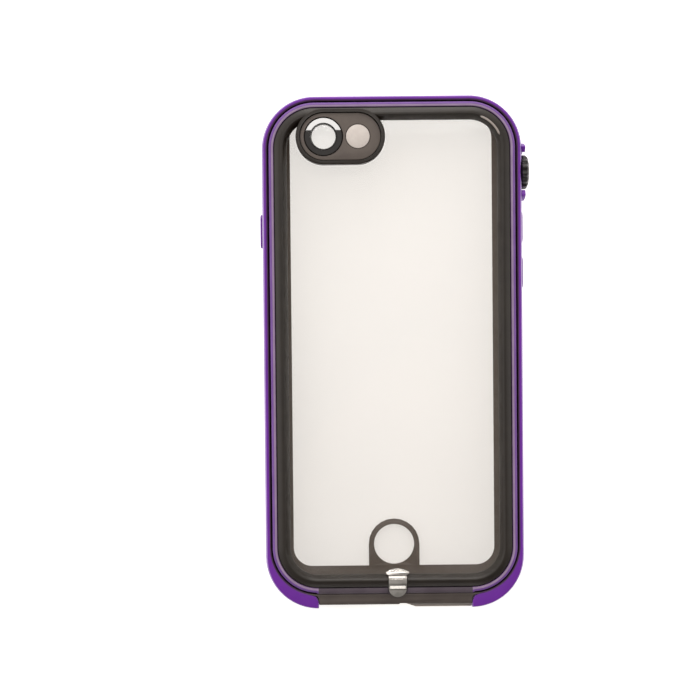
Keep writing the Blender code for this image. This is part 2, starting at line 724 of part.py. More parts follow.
def make_mute_dial(finish, metal, seal_finish):
    """The fluted dial, the shaft that it turns, and the cam that moves the phone's switch."""
    low = X_DIAL_WELL + FIT
    top = X_SIDE + DIAL_PROUD
    count = DIAL_FLUTES * 4
    heights = [(DIAL_RADIUS - DIAL_FOOT, low, 0.0), (DIAL_RADIUS, low + DIAL_FOOT, 1.0)]
    dome_steps = 4
    for step in range(dome_steps + 1):
        angle = math.pi / 2 * step / dome_steps
        radius = DIAL_RADIUS - DIAL_DOME_WIDTH * (1 - math.cos(angle))
        x = top - DIAL_DOME_HEIGHT * (1 - math.sin(angle))
        heights.append((radius, x, math.cos(angle) ** 2))
    loops = []
    for radius, x, share in heights:
        loop = []
        for step in range(count):
            angle = 2 * math.pi * step / count
            dip = DIAL_FLUTE_DEPTH * share * (1 - math.cos(DIAL_FLUTES * angle)) / 2
            a = DIAL_Y + (radius - dip) * math.cos(angle)
            b = DIAL_Z + (radius - dip) * math.sin(angle)
            loop.append((x, a, b))
        loops.append(loop)
    dial = skin("mute_dial", loops, finish)
    place = (DIAL_Y, DIAL_Z)
    socket_radius = SHAFT_RADIUS + SEAL_FIT
    socket = [(socket_radius, low - FIT), (socket_radius, low + DIAL_SOCKET)]
    cut(dial, turned("dial_socket", "X", place, socket, None, SMALL_ROUND_STEPS))
    set_origin(dial, (low, DIAL_Y, DIAL_Z))

    ends = [(SHAFT_RADIUS, X_CAVITY + SEAL_FIT / 2), (SHAFT_RADIUS, low + DIAL_SOCKET - SEAL_FIT)]
    shaft = turned("dial_shaft", "X", place, ends, metal, SMALL_ROUND_STEPS)
    set_origin(shaft, (low, DIAL_Y, DIAL_Z))

    cam_top = X_CAVITY + SEAT_DEPTH - SEAL_FIT
    inner = SHAFT_RADIUS + PIN_FIT
    section = [
        (inner, cam_top - CAM_THICKNESS),
        (CAM_RADIUS, cam_top - CAM_THICKNESS),
        (CAM_RADIUS, cam_top),
        (inner, cam_top),
    ]
    cam = turned_ring("dial_cam", "X", place, section, finish, SMALL_ROUND_STEPS)
    set_origin(cam, (low, DIAL_Y, DIAL_Z))
    make_side_seal("dial_seal", 1, DIAL_Y, DIAL_Z, SHAFT_RADIUS, seal_finish)


def make_port_cover(finish, seal_finish, metal):
    """The port cover with its pull, the gasket on its inner face and the pin that it turns on."""
    half = DOOR_THICKNESS / 2
    steps = SMALL_ROUND_STEPS // 2
    section = [(Y_DOOR_INNER, DOOR_TOP), (Y_DOOR_OUTER, DOOR_TOP)]
    for step in range(steps + 1):
        angle = math.pi * (1 + step / steps)
        section.append((Y_HINGE + half * math.cos(angle), Z_HINGE + half * math.sin(angle)))
    door = prism("port_cover", "X", section, DOOR_LEFT, DOOR_RIGHT, finish)
    pull = [
        (PULL_LEFT - PULL_RAMP, Y_DOOR_OUTER),
        (PULL_LEFT, Y_DOOR_OUTER - PULL_PROUD),
        (DOOR_RIGHT, Y_DOOR_OUTER - PULL_PROUD),
        (DOOR_RIGHT, Y_HINGE),
        (PULL_LEFT - PULL_RAMP, Y_HINGE),
    ]
    grip = prism("door_pull", "Z", pull, DOOR_TOP - PULL_HEIGHT, DOOR_TOP, None)
    soften(grip, PULL_ROUNDING)
    join(door, grip)
    for name, _left, _right, x_range in lug_places():
        y_range = (Y_DOOR_OUTER - FIT, Y_DOOR_INNER + FIT)
        z_range = (DOOR_LOW - FIT, Z_HINGE + half + FIT)
        cut(door, block(f"{name}_room", x_range, y_range, z_range))
    bore = circle((Y_HINGE, Z_HINGE), PIN_RADIUS + PIN_FIT, SMALL_ROUND_STEPS)
    cut(door, prism("door_bore", "X", bore, DOOR_LEFT - FIT, DOOR_RIGHT + FIT, None))
    hinge = ((DOOR_LEFT + DOOR_RIGHT) / 2, Y_HINGE, Z_HINGE)
    set_origin(door, hinge)

    pin_shape = circle((Y_HINGE, Z_HINGE), PIN_RADIUS, SMALL_ROUND_STEPS // 2)
    pin = prism("port_hinge_pin", "X", pin_shape, DOOR_LEFT + PIN_FIT, DOOR_RIGHT - PIN_FIT, metal)
    set_origin(pin, hinge)

    x_low = PORT_LEFT + GASKET_SIDE_GAP
    x_high = PORT_RIGHT - GASKET_SIDE_GAP
    z_low = Z_PORT_LOW + GASKET_SIDE_GAP
    z_high = Z_PORT_TOP - GASKET_TOP_GAP
    centre = ((x_low + x_high) / 2, (z_low + z_high) / 2)
    outer_shape = slot_shape(centre, x_high - x_low, z_high - z_low, 3, GASKET_WALL)
    y_low = Y_DOOR_INNER + SEAL_FIT
    gasket = prism("port_gasket", "Y", outer_shape, y_low, y_low + GASKET_REACH, seal_finish)
    inner_length = x_high - x_low - 2 * GASKET_WALL
    inner_height = z_high - z_low - 2 * GASKET_WALL
    inner_shape = slot_shape(centre, inner_length, inner_height, 3, GASKET_WALL / 2)
    opening = prism("gasket_hole", "Y", inner_shape, y_low - FIT, y_low + GASKET_REACH + FIT, None)
    cut(gasket, opening)
    set_origin(gasket, hinge)


def make_speaker_membrane(finish):
    """The thin skin that lets sound through and keeps water out."""
    shape = slot_shape((SPEAKER_X, Z_PHONE_MID), MEMBRANE_LENGTH, MEMBRANE_HEIGHT, 3, MEMBRANE_CORNER)
    y_low = Y_CAVITY_LOW - MEMBRANE_THICKNESS - SEAL_FIT
    prism("speaker_membrane", "Y", shape, y_low, y_low + MEMBRANE_THICKNESS, finish)


def make_front_windows(film):
    """The clear sheet over the screen, and the thinner disc over the phone's round key."""
    outline = CAVITY.points(-RIM_INSET - FIT)
    sheet = prism("front_window", "Z", outline, Z_FILM_LOW, Z_FILM_TOP, film)
    disc_radius = KEY_HOLE_RADIUS + KEY_FILM_OVERLAP
    hole = circle((0.0, Y_KEY), disc_radius + FIT, ROUND_STEPS * 2)
    cut(sheet, prism("key_film_hole", "Z", hole, 0.0, Z_FLANGE_LOW, None))
    disc = circle((0.0, Y_KEY), disc_radius, ROUND_STEPS * 2)
    prism("touch_film", "Z", disc, Z_FILM_LOW, Z_FILM_TOP, film)


def make_back_frame(finish):
    """The hard ring of the back cover: skirt, gasket groove, crowned ridge and camera rim."""
    section = [
        (CAVITY, SKIRT_WALL - SKIRT_CHAMFER, Z_SKIRT_LOW),
        (CAVITY, SKIRT_WALL, Z_SKIRT_LOW + SKIRT_CHAMFER),
        (CAVITY, SKIRT_WALL, Z_GROOVE_LOW),
        (CAVITY, SKIRT_WALL - GROOVE_DEPTH, Z_GROOVE_LOW),
        (CAVITY, SKIRT_WALL - GROOVE_DEPTH, Z_GROOVE_TOP),
        (CAVITY, SKIRT_WALL, Z_GROOVE_TOP),
        (CAVITY, SKIRT_WALL, Z_WALL_TOP),
        (CAVITY, -RIDGE_START, Z_WALL_TOP),
        (CAVITY, -RIDGE_START, Z_CROWN - RIDGE_SHOULDER),
    ]
    outer_width = RIDGE_CROWN - RIDGE_START
    for share in (0.35, 0.7, 1.0):
        drop = RIDGE_SHOULDER * (1 - share) ** RIDGE_OUTER_CURVE
        section.append((CAVITY, -RIDGE_START - outer_width * share, Z_CROWN - drop))
    inner_width = RIDGE_INNER - RIDGE_CROWN
    for share in (0.3, 0.65, 1.0):
        drop = (RIDGE_RISE - RIDGE_EDGE) * share**RIDGE_INNER_CURVE
        section.append((CAVITY, -RIDGE_CROWN - inner_width * share, Z_CROWN - drop))
    section += [
        (CAVITY, -RIDGE_INNER, Z_RIDGE_LOW),
        (CAVITY, -PANEL_SEAT, Z_RIDGE_LOW),
        (CAVITY, -PANEL_SEAT, Z_PANEL_LOW + PANEL_BED),
        (CAVITY, 0.0, Z_PANEL_LOW + PANEL_BED),
        (CAVITY, 0.0, Z_SKIRT_LOW),
    ]
    frame = band("back_frame", section, finish)
    place = (CAMERA_X, CAMERA_Y)
    ledge = CAMERA_RIM + CAMERA_LEDGE
    outer = slot_shape(place, CAMERA_LENGTH, CAMERA_WIDTH, 10)
    rim = prism("camera_rim_block", "Z", outer, Z_PANEL_LOW + PANEL_BED, Z_CROWN, None)
    soften(rim, CAMERA_RIM_ROUNDING)
    join(frame, rim)
    through = slot_shape(place, CAMERA_LENGTH - 2 * ledge, CAMERA_WIDTH - 2 * ledge, 10)
    cut(frame, prism("camera_opening", "Z", through, Z_PHONE_TOP - FIT, Z_CROWN + FIT, None))
    seat = slot_shape(place, CAMERA_LENGTH - 2 * CAMERA_RIM, CAMERA_WIDTH - 2 * CAMERA_RIM, 10)
    cut(frame, prism("camera_seat", "Z", seat, camera_seat_level(), Z_CROWN + FIT, None))
    half = STRIP_WIDTH / 2 + FIT
    x_range = (STRIP_X - half, STRIP_X + half)
    y_range = (Y_CAVITY_LOW, Y_CAVITY_LOW + RIDGE_INNER)
    cut(frame, block("strip_notch", x_range, y_range, (Z_CROWN - STRIP_CROWN_CUT, Z_CROWN + FIT)))
    return frame


def camera_seat_level():
    """The height of the ledge that the camera plate sits on."""
    return Z_CROWN - CAMERA_PLATE_DROP - CAMERA_PLATE_THICKNESS - SEAL_FIT


def make_back_trim(finish):
    """The soft lip round the back cover, beside the seam."""
    section = [(CAVITY, OUT_LIP, Z_LIP_LOW)]
    crown_steps = 3
    for step in range(crown_steps + 1):
        angle = math.pi / 2 * step / crown_steps
        out = OUT_LIP - LIP_CROWN_WIDTH * (1 - math.cos(angle))
        section.append((CAVITY, out, Z_LIP_TOP - LIP_CROWN_HEIGHT * (1 - math.sin(angle))))
    section += [
        (CAVITY, OUT_LIP_INNER + LIP_EDGE, Z_LIP_TOP),
        (CAVITY, OUT_LIP_INNER, Z_LIP_TOP - LIP_EDGE),
        (CAVITY, OUT_LIP_INNER, Z_LIP_LOW),
    ]
    trim = band("back_trim", section, finish)
    half = STRIP_WIDTH / 2 + FIT
    x_range = (STRIP_X - half, STRIP_X + half)
    y_range = (Y_CAVITY_LOW - OUT_SEAM, Y_CAVITY_LOW)
    cut(trim, block("trim_notch", x_range, y_range, (Z_LIP_TOP - STRIP_LIP_CUT, Z_CROWN)))
    return trim


def make_back_window(finish):
    """The clear back panel, held under the ridge, with a hole for the camera rim."""
    panel = prism("back_window", "Z", CAVITY.points(-PANEL_SEAT - FIT), Z_PANEL_LOW, Z_PANEL_TOP, finish)
    hole = slot_shape(
        (CAMERA_X, CAMERA_Y), CAMERA_LENGTH + 2 * FIT, CAMERA_WIDTH + 2 * FIT, 10
    )
    cut(panel, prism("camera_hole", "Z", hole, Z_PANEL_LOW - FIT, Z_PANEL_TOP + FIT, None))
    return panel


def make_main_gasket(finish):
    """The rubber ring in the skirt's groove, which seals the two halves."""
    low = Z_GROOVE_LOW + SEAL_FIT
    top = Z_GROOVE_TOP - SEAL_FIT
    inner = SKIRT_WALL - GROOVE_DEPTH + SEAL_FIT
    outer = OUT_FRAME_INNER - SEAL_FIT
    soft = GASKET_ROUNDING
    section = [
        (CAVITY, inner, low),
        (CAVITY, outer - soft, low),
        (CAVITY, outer, low + soft),
        (CAVITY, outer, top - soft),
        (CAVITY, outer - soft, top),
        (CAVITY, inner, top),
    ]
    band("main_gasket", section, finish)


def make_camera(plate_finish, ring_finish, glass, frosted):
    """The plate in the camera rim, with its lens ring, its lens glass and its flash window."""
    inset = CAMERA_RIM + SEAL_FIT
    place = (CAMERA_X, CAMERA_Y)
    plate_low = camera_seat_level() + SEAL_FIT
    plate_top = plate_low + CAMERA_PLATE_THICKNESS
    shape = slot_shape(place, CAMERA_LENGTH - 2 * inset, CAMERA_WIDTH - 2 * inset, 10)
    plate = prism("camera_plate", "Z", shape, plate_low, plate_top, plate_finish)
    lens = (CAMERA_X - LENS_SPACING / 2 + LENS_SHIFT, CAMERA_Y)
    flash = (lens[0] + LENS_SPACING, CAMERA_Y)
    glass_low = plate_top - LENS_SEAT - LENS_GLASS_THICKNESS + SEAL_FIT
    lens_hole = [(LENS_BORE_RADIUS + SEAL_FIT, plate_low - FIT), (LENS_BORE_RADIUS + SEAL_FIT, plate_top + FIT)]
    cut(plate, turned("lens_through", "Z", lens, lens_hole, None))
    wide = LENS_RADIUS + SEAL_FIT
    lens_seat = [(wide, glass_low - SEAL_FIT), (wide, plate_top + FIT)]
    cut(plate, turned("lens_seat", "Z", lens, lens_seat, None))
    narrow = FLASH_RADIUS - 2 * FIT
    cut(plate, turned("flash_through", "Z", flash, [(narrow, plate_low - FIT), (narrow, plate_top)], None))
    flash_low = plate_top - FLASH_THICKNESS
    wide = FLASH_RADIUS + SEAL_FIT
    flash_seat = [(wide, flash_low - SEAL_FIT), (wide, plate_top + FIT)]
    cut(plate, turned("flash_seat", "Z", flash, flash_seat, None))

    glass_top = glass_low + LENS_GLASS_THICKNESS
    turned("lens_window", "Z", lens, [(LENS_RADIUS, glass_low), (LENS_RADIUS, glass_top)], glass)
    ring_low = glass_top + SEAL_FIT
    ring_top = ring_low + LENS_RING_THICKNESS
    section = [
        (LENS_RADIUS, ring_low),
        (LENS_RADIUS, ring_top - LENS_RING_CHAMFER),
        (LENS_RADIUS - LENS_RING_CHAMFER, ring_top),
        (LENS_BORE_RADIUS + LENS_RING_SLOPE, ring_top),
        (LENS_BORE_RADIUS, ring_low + LENS_RING_CHAMFER),
        (LENS_BORE_RADIUS, ring_low),
    ]
    turned_ring("lens_ring", "Z", lens, section, ring_finish)
    turned("flash_window", "Z", flash, [(FLASH_RADIUS, flash_low), (FLASH_RADIUS, plate_top)], frosted)


def make_lanyard_strip(finish):
    """A bent steel strip over the ridge at the bottom, with a wider head on its inner end."""
    ridge_out = Y_CAVITY_LOW + RIDGE_START
    inner_edge = Y_CAVITY_LOW + RIDGE_INNER
    crown_y = Y_CAVITY_LOW + RIDGE_CROWN
    low_crown = Z_CROWN - STRIP_CROWN_CUT + FIT
    low_end = Z_LIP_TOP - STRIP_LIP_CUT + FIT
    end_y = Y_CAVITY_LOW - OUT_LIP - STRIP_REACH
    head_y = inner_edge + FIT + STRIP_HEAD_LENGTH
    low_head = Z_PANEL_TOP + FIT
    under = [
        (head_y, low_head),
        (inner_edge + FIT, low_head),
        (crown_y + STRIP_KNEE, low_crown - STRIP_KNEE_DROP),
        (crown_y + STRIP_EASE, low_crown),
        (ridge_out + STRIP_BEND, low_crown),
        (ridge_out - STRIP_BEND, low_end),
        (end_y, low_end),
    ]
    lift = STRIP_THICKNESS
    over = [
        (head_y, low_head + lift),
        (inner_edge + STRIP_KNEE, low_head + lift),
        (crown_y + STRIP_KNEE + STRIP_KNEE_DROP, low_crown + STRIP_KNEE_DROP),
        (crown_y + STRIP_BEND, low_crown + lift),
        (ridge_out + STRIP_EASE, low_crown + lift),
        (ridge_out - STRIP_KNEE, low_end + lift),
        (end_y, low_end + lift),
    ]
    half = STRIP_HEAD_WIDTH / 2
    strip = prism("lanyard_strip", "X", under + over[::-1], STRIP_X - half, STRIP_X + half, finish)
    z_range = (low_head - FIT, Z_CROWN + 2 * FIT)
    narrow = STRIP_WIDTH / 2
    y_neck = inner_edge + FIT
    for side, name in ((-1, "left"), (1, "right")):
        outline = [(STRIP_X + side * (half + FIT), y_neck), (STRIP_X + side * narrow, y_neck)]
        steps = 8
        for step in range(steps + 1):
            angle = math.pi / 2 * step / steps
            x = STRIP_X + side * narrow * math.cos(angle)
            y = end_y + narrow - narrow * math.sin(angle)
            outline.append((x, y))
        outline += [(STRIP_X, end_y - FIT), (STRIP_X + side * (half + FIT), end_y - FIT)]
        cut(strip, prism(f"strip_side_{name}", "Z", outline, z_range[0], z_range[1], None))
    return strip


def build():
    clear_scene()
    black = material("black polycarbonate", (0.030, 0.026, 0.024), 0.42)
    purple = material("purple soft rubber", (0.150, 0.027, 0.330), 0.55)
    grey = material("grey polycarbonate", (0.130, 0.110, 0.095), 0.45)
    rubber = material("black seal rubber", (0.015, 0.015, 0.015), 0.7)
    steel = material("polished steel", (0.75, 0.74, 0.72), 0.18, metallic=1.0)
    clear = material("clear polycarbonate", (0.93, 0.92, 0.90), 0.06, transmission=1.0)
    gloss = material("gloss black ring", (0.010, 0.010, 0.011), 0.12)
    frosted = material("frosted diffuser", (0.55, 0.52, 0.48), 0.5, transmission=0.4)
    mesh_white = material("acoustic membrane", (0.45, 0.45, 0.44), 0.8)

    make_front_frame(black)
    make_front_windows(clear)
    make_bumper(purple)
    for name, side, y in button_places():
        length = POWER_LENGTH if name == "power" else VOLUME_LENGTH
        proud = POWER_PROUD if name == "power" else VOLUME_PROUD
        make_button(name, side, y, length, proud, purple, steel)
        make_side_seal(f"{name}_button_seal", side, y, Z_PHONE_MID, STEM_RADIUS, rubber)
    make_mute_dial(black, steel, rubber)
    make_port_cover(grey, rubber, steel)
    make_speaker_membrane(mesh_white)
    make_back_frame(black)
    make_back_trim(purple)
    make_back_window(clear)
    make_main_gasket(rubber)
    make_camera(grey, gloss, clear, frosted)
    make_lanyard_strip(steel)


build()
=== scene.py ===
"""The finish of a waterproof phone case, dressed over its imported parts.

The case lies screen side down with its clear back up. Lengths are in metres and +Z is up.
"""

import math

import bmesh
import bpy
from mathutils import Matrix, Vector


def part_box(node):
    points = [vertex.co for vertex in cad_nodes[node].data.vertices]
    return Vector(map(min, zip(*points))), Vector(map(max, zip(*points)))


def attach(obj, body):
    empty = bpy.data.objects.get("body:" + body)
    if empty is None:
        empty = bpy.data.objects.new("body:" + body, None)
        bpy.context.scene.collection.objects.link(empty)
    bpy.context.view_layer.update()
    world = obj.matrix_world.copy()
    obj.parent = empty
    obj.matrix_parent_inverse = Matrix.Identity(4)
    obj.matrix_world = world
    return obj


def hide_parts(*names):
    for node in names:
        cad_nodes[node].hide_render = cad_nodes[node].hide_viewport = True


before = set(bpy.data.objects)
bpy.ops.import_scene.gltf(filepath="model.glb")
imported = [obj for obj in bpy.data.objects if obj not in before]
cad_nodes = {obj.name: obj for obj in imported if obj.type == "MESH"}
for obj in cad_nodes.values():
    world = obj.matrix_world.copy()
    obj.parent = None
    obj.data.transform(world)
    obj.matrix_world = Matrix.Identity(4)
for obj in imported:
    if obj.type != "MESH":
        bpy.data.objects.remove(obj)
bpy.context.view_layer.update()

# Table and light
# The case lies on a light table of opal acrylic, in a room whose walls are brightest beyond the
# camera end. Soft boxes stand low all round, and one lies flat above that end. The camera hangs
# nearly straight above, a little to the left.
MM = 0.001
CAMERA_PLACE = (-14.09 * MM, 9.86 * MM, 416.9 * MM)
CAMERA_TURN = tuple(math.radians(turn) for turn in (-1.26, -0.224, -0.546))
CAMERA_VIEW = math.radians(28)
CAMERA_NEAR = 10 * MM
CLOUD_BAND = (0.36, 0.64)
CLOUD_DETAIL = 4.0
GRAIN_BAND = (0.3, 0.7)
GRAIN_DETAIL = 2.0


def srgb(code):
    """The linear colour of an sRGB hex value."""
    levels = [int(code[place : place + 2], 16) / 255 for place in (1, 3, 5)]
    return tuple(
        level / 12.92 if level <= 0.04045 else ((level + 0.055) / 1.055) ** 2.4 for level in levels
    )


def add_node(tree, kind, inputs=(), **settings):
    """Adds a node, sets its properties, then gives its sockets their values or links."""
    made = tree.nodes.new(kind)
    for name, value in settings.items():
        setattr(made, name, value)
    for socket, value in dict(inputs).items():
        if isinstance(value, bpy.types.NodeSocket):
            tree.links.new(value, made.inputs[socket])
        else:
            made.inputs[socket].default_value = value
    return made


def finish(name, colours, drift, rough, grain, depth, **constant):
    """A surface whose colour drifts between two sRGB values and whose grain has a real size.

    drift and grain are lengths, rough is the roughness from smooth patches to dull ones, and
    depth is the height of the grain. The other values are the same all over the surface.
    """
    made = bpy.data.materials.new(name)
    made.use_nodes = True
    tree = made.node_tree
    shader = tree.nodes["Principled BSDF"]
    for socket, value in constant.items():
        shader.inputs[socket.replace("_", " ")].default_value = value
    place = add_node(tree, "ShaderNodeTexCoord").outputs["Object"]
    cloud = {"Vector": place, "Scale": 1 / drift, "Detail": CLOUD_DETAIL}
    cloud = add_node(tree, "ShaderNodeTexNoise", cloud)
    ramp = add_node(tree, "ShaderNodeValToRGB", {"Fac": cloud.outputs["Fac"]})
    for element, code, position in zip(ramp.color_ramp.elements, colours, CLOUD_BAND):
        element.color = (*srgb(code), 1.0)
        element.position = position
    tree.links.new(ramp.outputs["Color"], shader.inputs["Base Color"])
    fine = {"Vector": place, "Scale": 1 / grain, "Detail": GRAIN_DETAIL}
    fine = add_node(tree, "ShaderNodeTexNoise", fine)
    spread = {"Value": fine.outputs["Fac"], "From Min": GRAIN_BAND[0], "From Max": GRAIN_BAND[1]}
    spread.update({"To Min": rough[0], "To Max": rough[1]})
    dull = add_node(tree, "ShaderNodeMapRange", spread)
    tree.links.new(dull.outputs["Result"], shader.inputs["Roughness"])
    height = {"Height": fine.outputs["Fac"], "Distance": depth, "Strength": 1.0}
    relief = add_node(tree, "ShaderNodeBump", height)
    tree.links.new(relief.outputs["Normal"], shader.inputs["Normal"])
    made.diffuse_color = (*srgb(colours[0]), 1.0)
    return made


# Opal acrylic: cast milky white and sanded matt. The lamps below it shine more strongly towards
# the camera end, from the first share of OPAL_GLOW to the second over the case's length.
FLOOR_HALF = 4.0
GLOW_REACH = 75 * MM
OPAL_GLOW = (0.68, 0.88)
GLOW_COLOUR = (1.0, 0.985, 0.95, 1.0)
opal = finish(
    "opal acrylic",
    ("#F7F7F7", "#F9F9F9"),
    40 * MM,
    (0.85, 0.95),
    0.4 * MM,
    0.004 * MM,
    Emission_Color=GLOW_COLOUR,
)
opal_place = add_node(opal.node_tree, "ShaderNodeTexCoord").outputs["Object"]
opal_place = add_node(opal.node_tree, "ShaderNodeSeparateXYZ", {"Vector": opal_place}).outputs["Y"]
glow = {"Value": opal_place, "From Min": -GLOW_REACH, "From Max": GLOW_REACH}
glow.update({"To Min": OPAL_GLOW[0], "To Max": OPAL_GLOW[1]})
glow = add_node(opal.node_tree, "ShaderNodeMapRange", glow).outputs["Result"]
opal.node_tree.links.new(glow, opal.node_tree.nodes["Principled BSDF"].inputs["Emission Strength"])
floor_mesh = bpy.data.meshes.new("floor")
floor_corners = [(-FLOOR_HALF, -FLOOR_HALF, 0), (FLOOR_HALF, -FLOOR_HALF, 0)]
floor_corners += [(FLOOR_HALF, FLOOR_HALF, 0), (-FLOOR_HALF, FLOOR_HALF, 0)]
floor_mesh.from_pydata(floor_corners, [], [(0, 1, 2, 3)])
floor_mesh.materials.append(opal)
floor = bpy.data.objects.new("floor", floor_mesh)
bpy.context.scene.collection.objects.link(floor)

camera = bpy.data.objects.new("camera", bpy.data.cameras.new("camera"))
camera.location = CAMERA_PLACE
camera.rotation_euler = CAMERA_TURN
camera.data.sensor_fit = "HORIZONTAL"
camera.data.angle = CAMERA_VIEW
camera.data.clip_start = CAMERA_NEAR
bpy.context.scene.collection.objects.link(camera)
bpy.context.scene.camera = camera

world = bpy.data.worlds.new("studio walls")
bpy.context.scene.world = world
world.use_nodes = True
room = world.node_tree
background = room.nodes["Background"]
# The walls are lit more than the ceiling, so flat metal looks greyer than slopes do, and the wall
# that BRIGHT_WAY points to is the brightest.
CEILING_LIGHT = 0.5
WALL_LIGHT = 0.78
BRIGHT_WAY = (-0.25, 0.9, 0.0)
WALL_COLOUR = (1.0, 0.96, 0.92, 1.0)
background.inputs["Color"].default_value = WALL_COLOUR
way = add_node(room, "ShaderNodeTexCoord").outputs["Generated"]
height = add_node(room, "ShaderNodeSeparateXYZ", {"Vector": way}).outputs["Z"]
fall = {"Value": height, "From Min": 0.0, "From Max": 1.0}
fall.update({"To Min": WALL_LIGHT, "To Max": CEILING_LIGHT})
fall = add_node(room, "ShaderNodeMapRange", fall)
bright = add_node(room, "ShaderNodeVectorMath", {0: way, 1: BRIGHT_WAY}, operation="DOT_PRODUCT")
bright = add_node(room, "ShaderNodeMath", {0: bright.outputs["Value"], 1: 1.0})
light = {0: fall.outputs["Result"], 1: bright.outputs[0]}
light = add_node(room, "ShaderNodeMath", light, operation="MULTIPLY")
room.links.new(light.outputs[0], background.inputs["Strength"])
bpy.context.scene.view_settings.view_transform = "Standard"

# Each soft box: its place, its width and length, and its power. The one at the end lies flat and
# shows as a crescent in the lens. The one at the foot shows in the bend of the steel strip.
LAMP_COLOUR = (1.0, 0.97, 0.94)
SOFT_BOXES = {
    "end": ((0.0, 0.212, 1.0), (0.6, 0.03), 0.7),
    "low end": ((0.0, 0.85, 0.3), (0.6, 0.4), 1.6),
    "foot": ((0.03, -0.9, 0.25), (0.46, 0.2), 0.45),
    "left": ((-0.75, 0.0, 0.35), (0.4, 0.6), 0.5),
    "right": ((0.75, 0.0, 0.35), (0.4, 0.6), 0.5),
}
for side, (place, size, power) in SOFT_BOXES.items():
    lamp = bpy.data.lights.new(f"soft box at the {side}", "AREA")
    lamp.shape = "RECTANGLE"
    lamp.size, lamp.size_y = size
    lamp.energy = power
    lamp.color = LAMP_COLOUR
    soft_box = bpy.data.objects.new(lamp.name, lamp)
    soft_box.location = place
    if side != "end":
        soft_box.rotation_euler = (-Vector(place)).to_track_quat("-Z", "Y").to_euler()
    bpy.context.scene.collection.objects.link(soft_box)

# Seams and outlines of the housing
# Every ring of the case follows the phone's rounded outline, so each is a section swept round the
# same line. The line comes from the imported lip, whose outer wall stands LIP_OUT outside the
# cavity.
LIP_OUT = 1.65 * MM
CAVITY_CORNER = 11.55 * MM
CORNER_STEPS = 28
SHARP = math.radians(38)
WELD = 0.0005 * MM
EASE_LIMIT = 0.42

lip_low, lip_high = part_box("back_trim")
cavity_half = lip_high.x - LIP_OUT
cavity_low = lip_low.y + LIP_OUT
cavity_high = lip_high.y - LIP_OUT
seam_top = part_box("front_frame")[1].z
ridge_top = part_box("back_frame")[1].z
panel_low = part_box("back_window")[0].z
panel_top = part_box("back_window")[1].z


def outline(half, low, high, corner, steps=CORNER_STEPS):
    """A closed rectangle with round corners, from the middle of its bottom edge on the right."""
    found = []
    centres = (
        (half - corner, low + corner),
        (half - corner, high - corner),
        (corner - half, high - corner),
        (corner - half, low + corner),
    )
    for quarter, (x, y) in enumerate(centres):
        for step in range(steps + 1):
            angle = math.pi / 2 * (quarter - 1 + step / steps)
            found.append((x + corner * math.cos(angle), y + corner * math.sin(angle)))
    return found


def eased(points, radius, steps=3):
    """The same closed section, with each corner eased by a short curve of about this size."""
    made = []
    for index, point in enumerate(points):
        here = Vector(point)
        back = Vector(points[index - 1]) - here
        onward = Vector(points[(index + 1) % len(points)]) - here
        start = here + back.normalized() * min(radius, back.length * EASE_LIMIT)
        end = here + onward.normalized() * min(radius, onward.length * EASE_LIMIT)
        for step in range(steps + 1):
            share = step / steps
            curve = start * (1 - share) ** 2 + here * (2 * share * (1 - share)) + end * share**2
            made.append(tuple(curve))
    return made


def build_mesh(name, loops, closed=False):
    """An object through loops of equal length, capped at both ends or joined end to end."""
    bm = bmesh.new()
    rows = [[bm.verts.new(point) for point in loop] for loop in loops]
    pairs = list(zip(rows, rows[1:]))
    if closed:
        pairs.append((rows[-1], rows[0]))
    else:
        bm.faces.new(rows[0])
        bm.faces.new(rows[-1])
    for lower, upper in pairs:
        for index, first in enumerate(lower):
            after = (index + 1) % len(lower)
            bm.faces.new((first, lower[after], upper[after], upper[index]))
    bmesh.ops.recalc_face_normals(bm, faces=bm.faces)
    mesh = bpy.data.meshes.new(name)
    bm.to_mesh(mesh)
    bm.free()
    made = bpy.data.objects.new(name, mesh)
    bpy.context.scene.collection.objects.link(made)
    return made


def combine(target, other, operation, solver="EXACT"):
    """Adds a Boolean modifier to a piece, with a helper that settle() removes."""
    modifier = target.modifiers.new(other.name, "BOOLEAN")
    modifier.operation = operation
    modifier.solver = solver
    modifier.object = other
    other.hide_render = True


def settle(piece, *finishes):
    """Turns a piece's modifiers into plain mesh, removes their helpers and smooths its shading."""
    helpers = [m.object for m in piece.modifiers if m.type == "BOOLEAN"]
    graph = bpy.context.evaluated_depsgraph_get()
    mesh = bpy.data.meshes.new_from_object(piece.evaluated_get(graph))
    piece.modifiers.clear()
    piece.data = mesh
    for helper in helpers:
        bpy.data.objects.remove(helper, do_unlink=True)
    bm = bmesh.new()
    bm.from_mesh(mesh)
    bmesh.ops.remove_doubles(bm, verts=bm.verts, dist=WELD)
    bmesh.ops.recalc_face_normals(bm, faces=bm.faces)
    bm.to_mesh(mesh)
    bm.free()
    mesh.shade_smooth()
    mesh.set_sharp_from_angle(angle=SHARP)
    if finishes:
        mesh.materials.clear()
    for material in finishes:
        mesh.materials.append(material)
    return piece


def copy_of(node, *finishes):
    """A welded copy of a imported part, so that its round sides shade smoothly."""
    made = bpy.data.objects.new(f"{node}_shell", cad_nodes[node].data.copy())
    bpy.context.scene.collection.objects.link(made)
    return settle(made, *finishes)


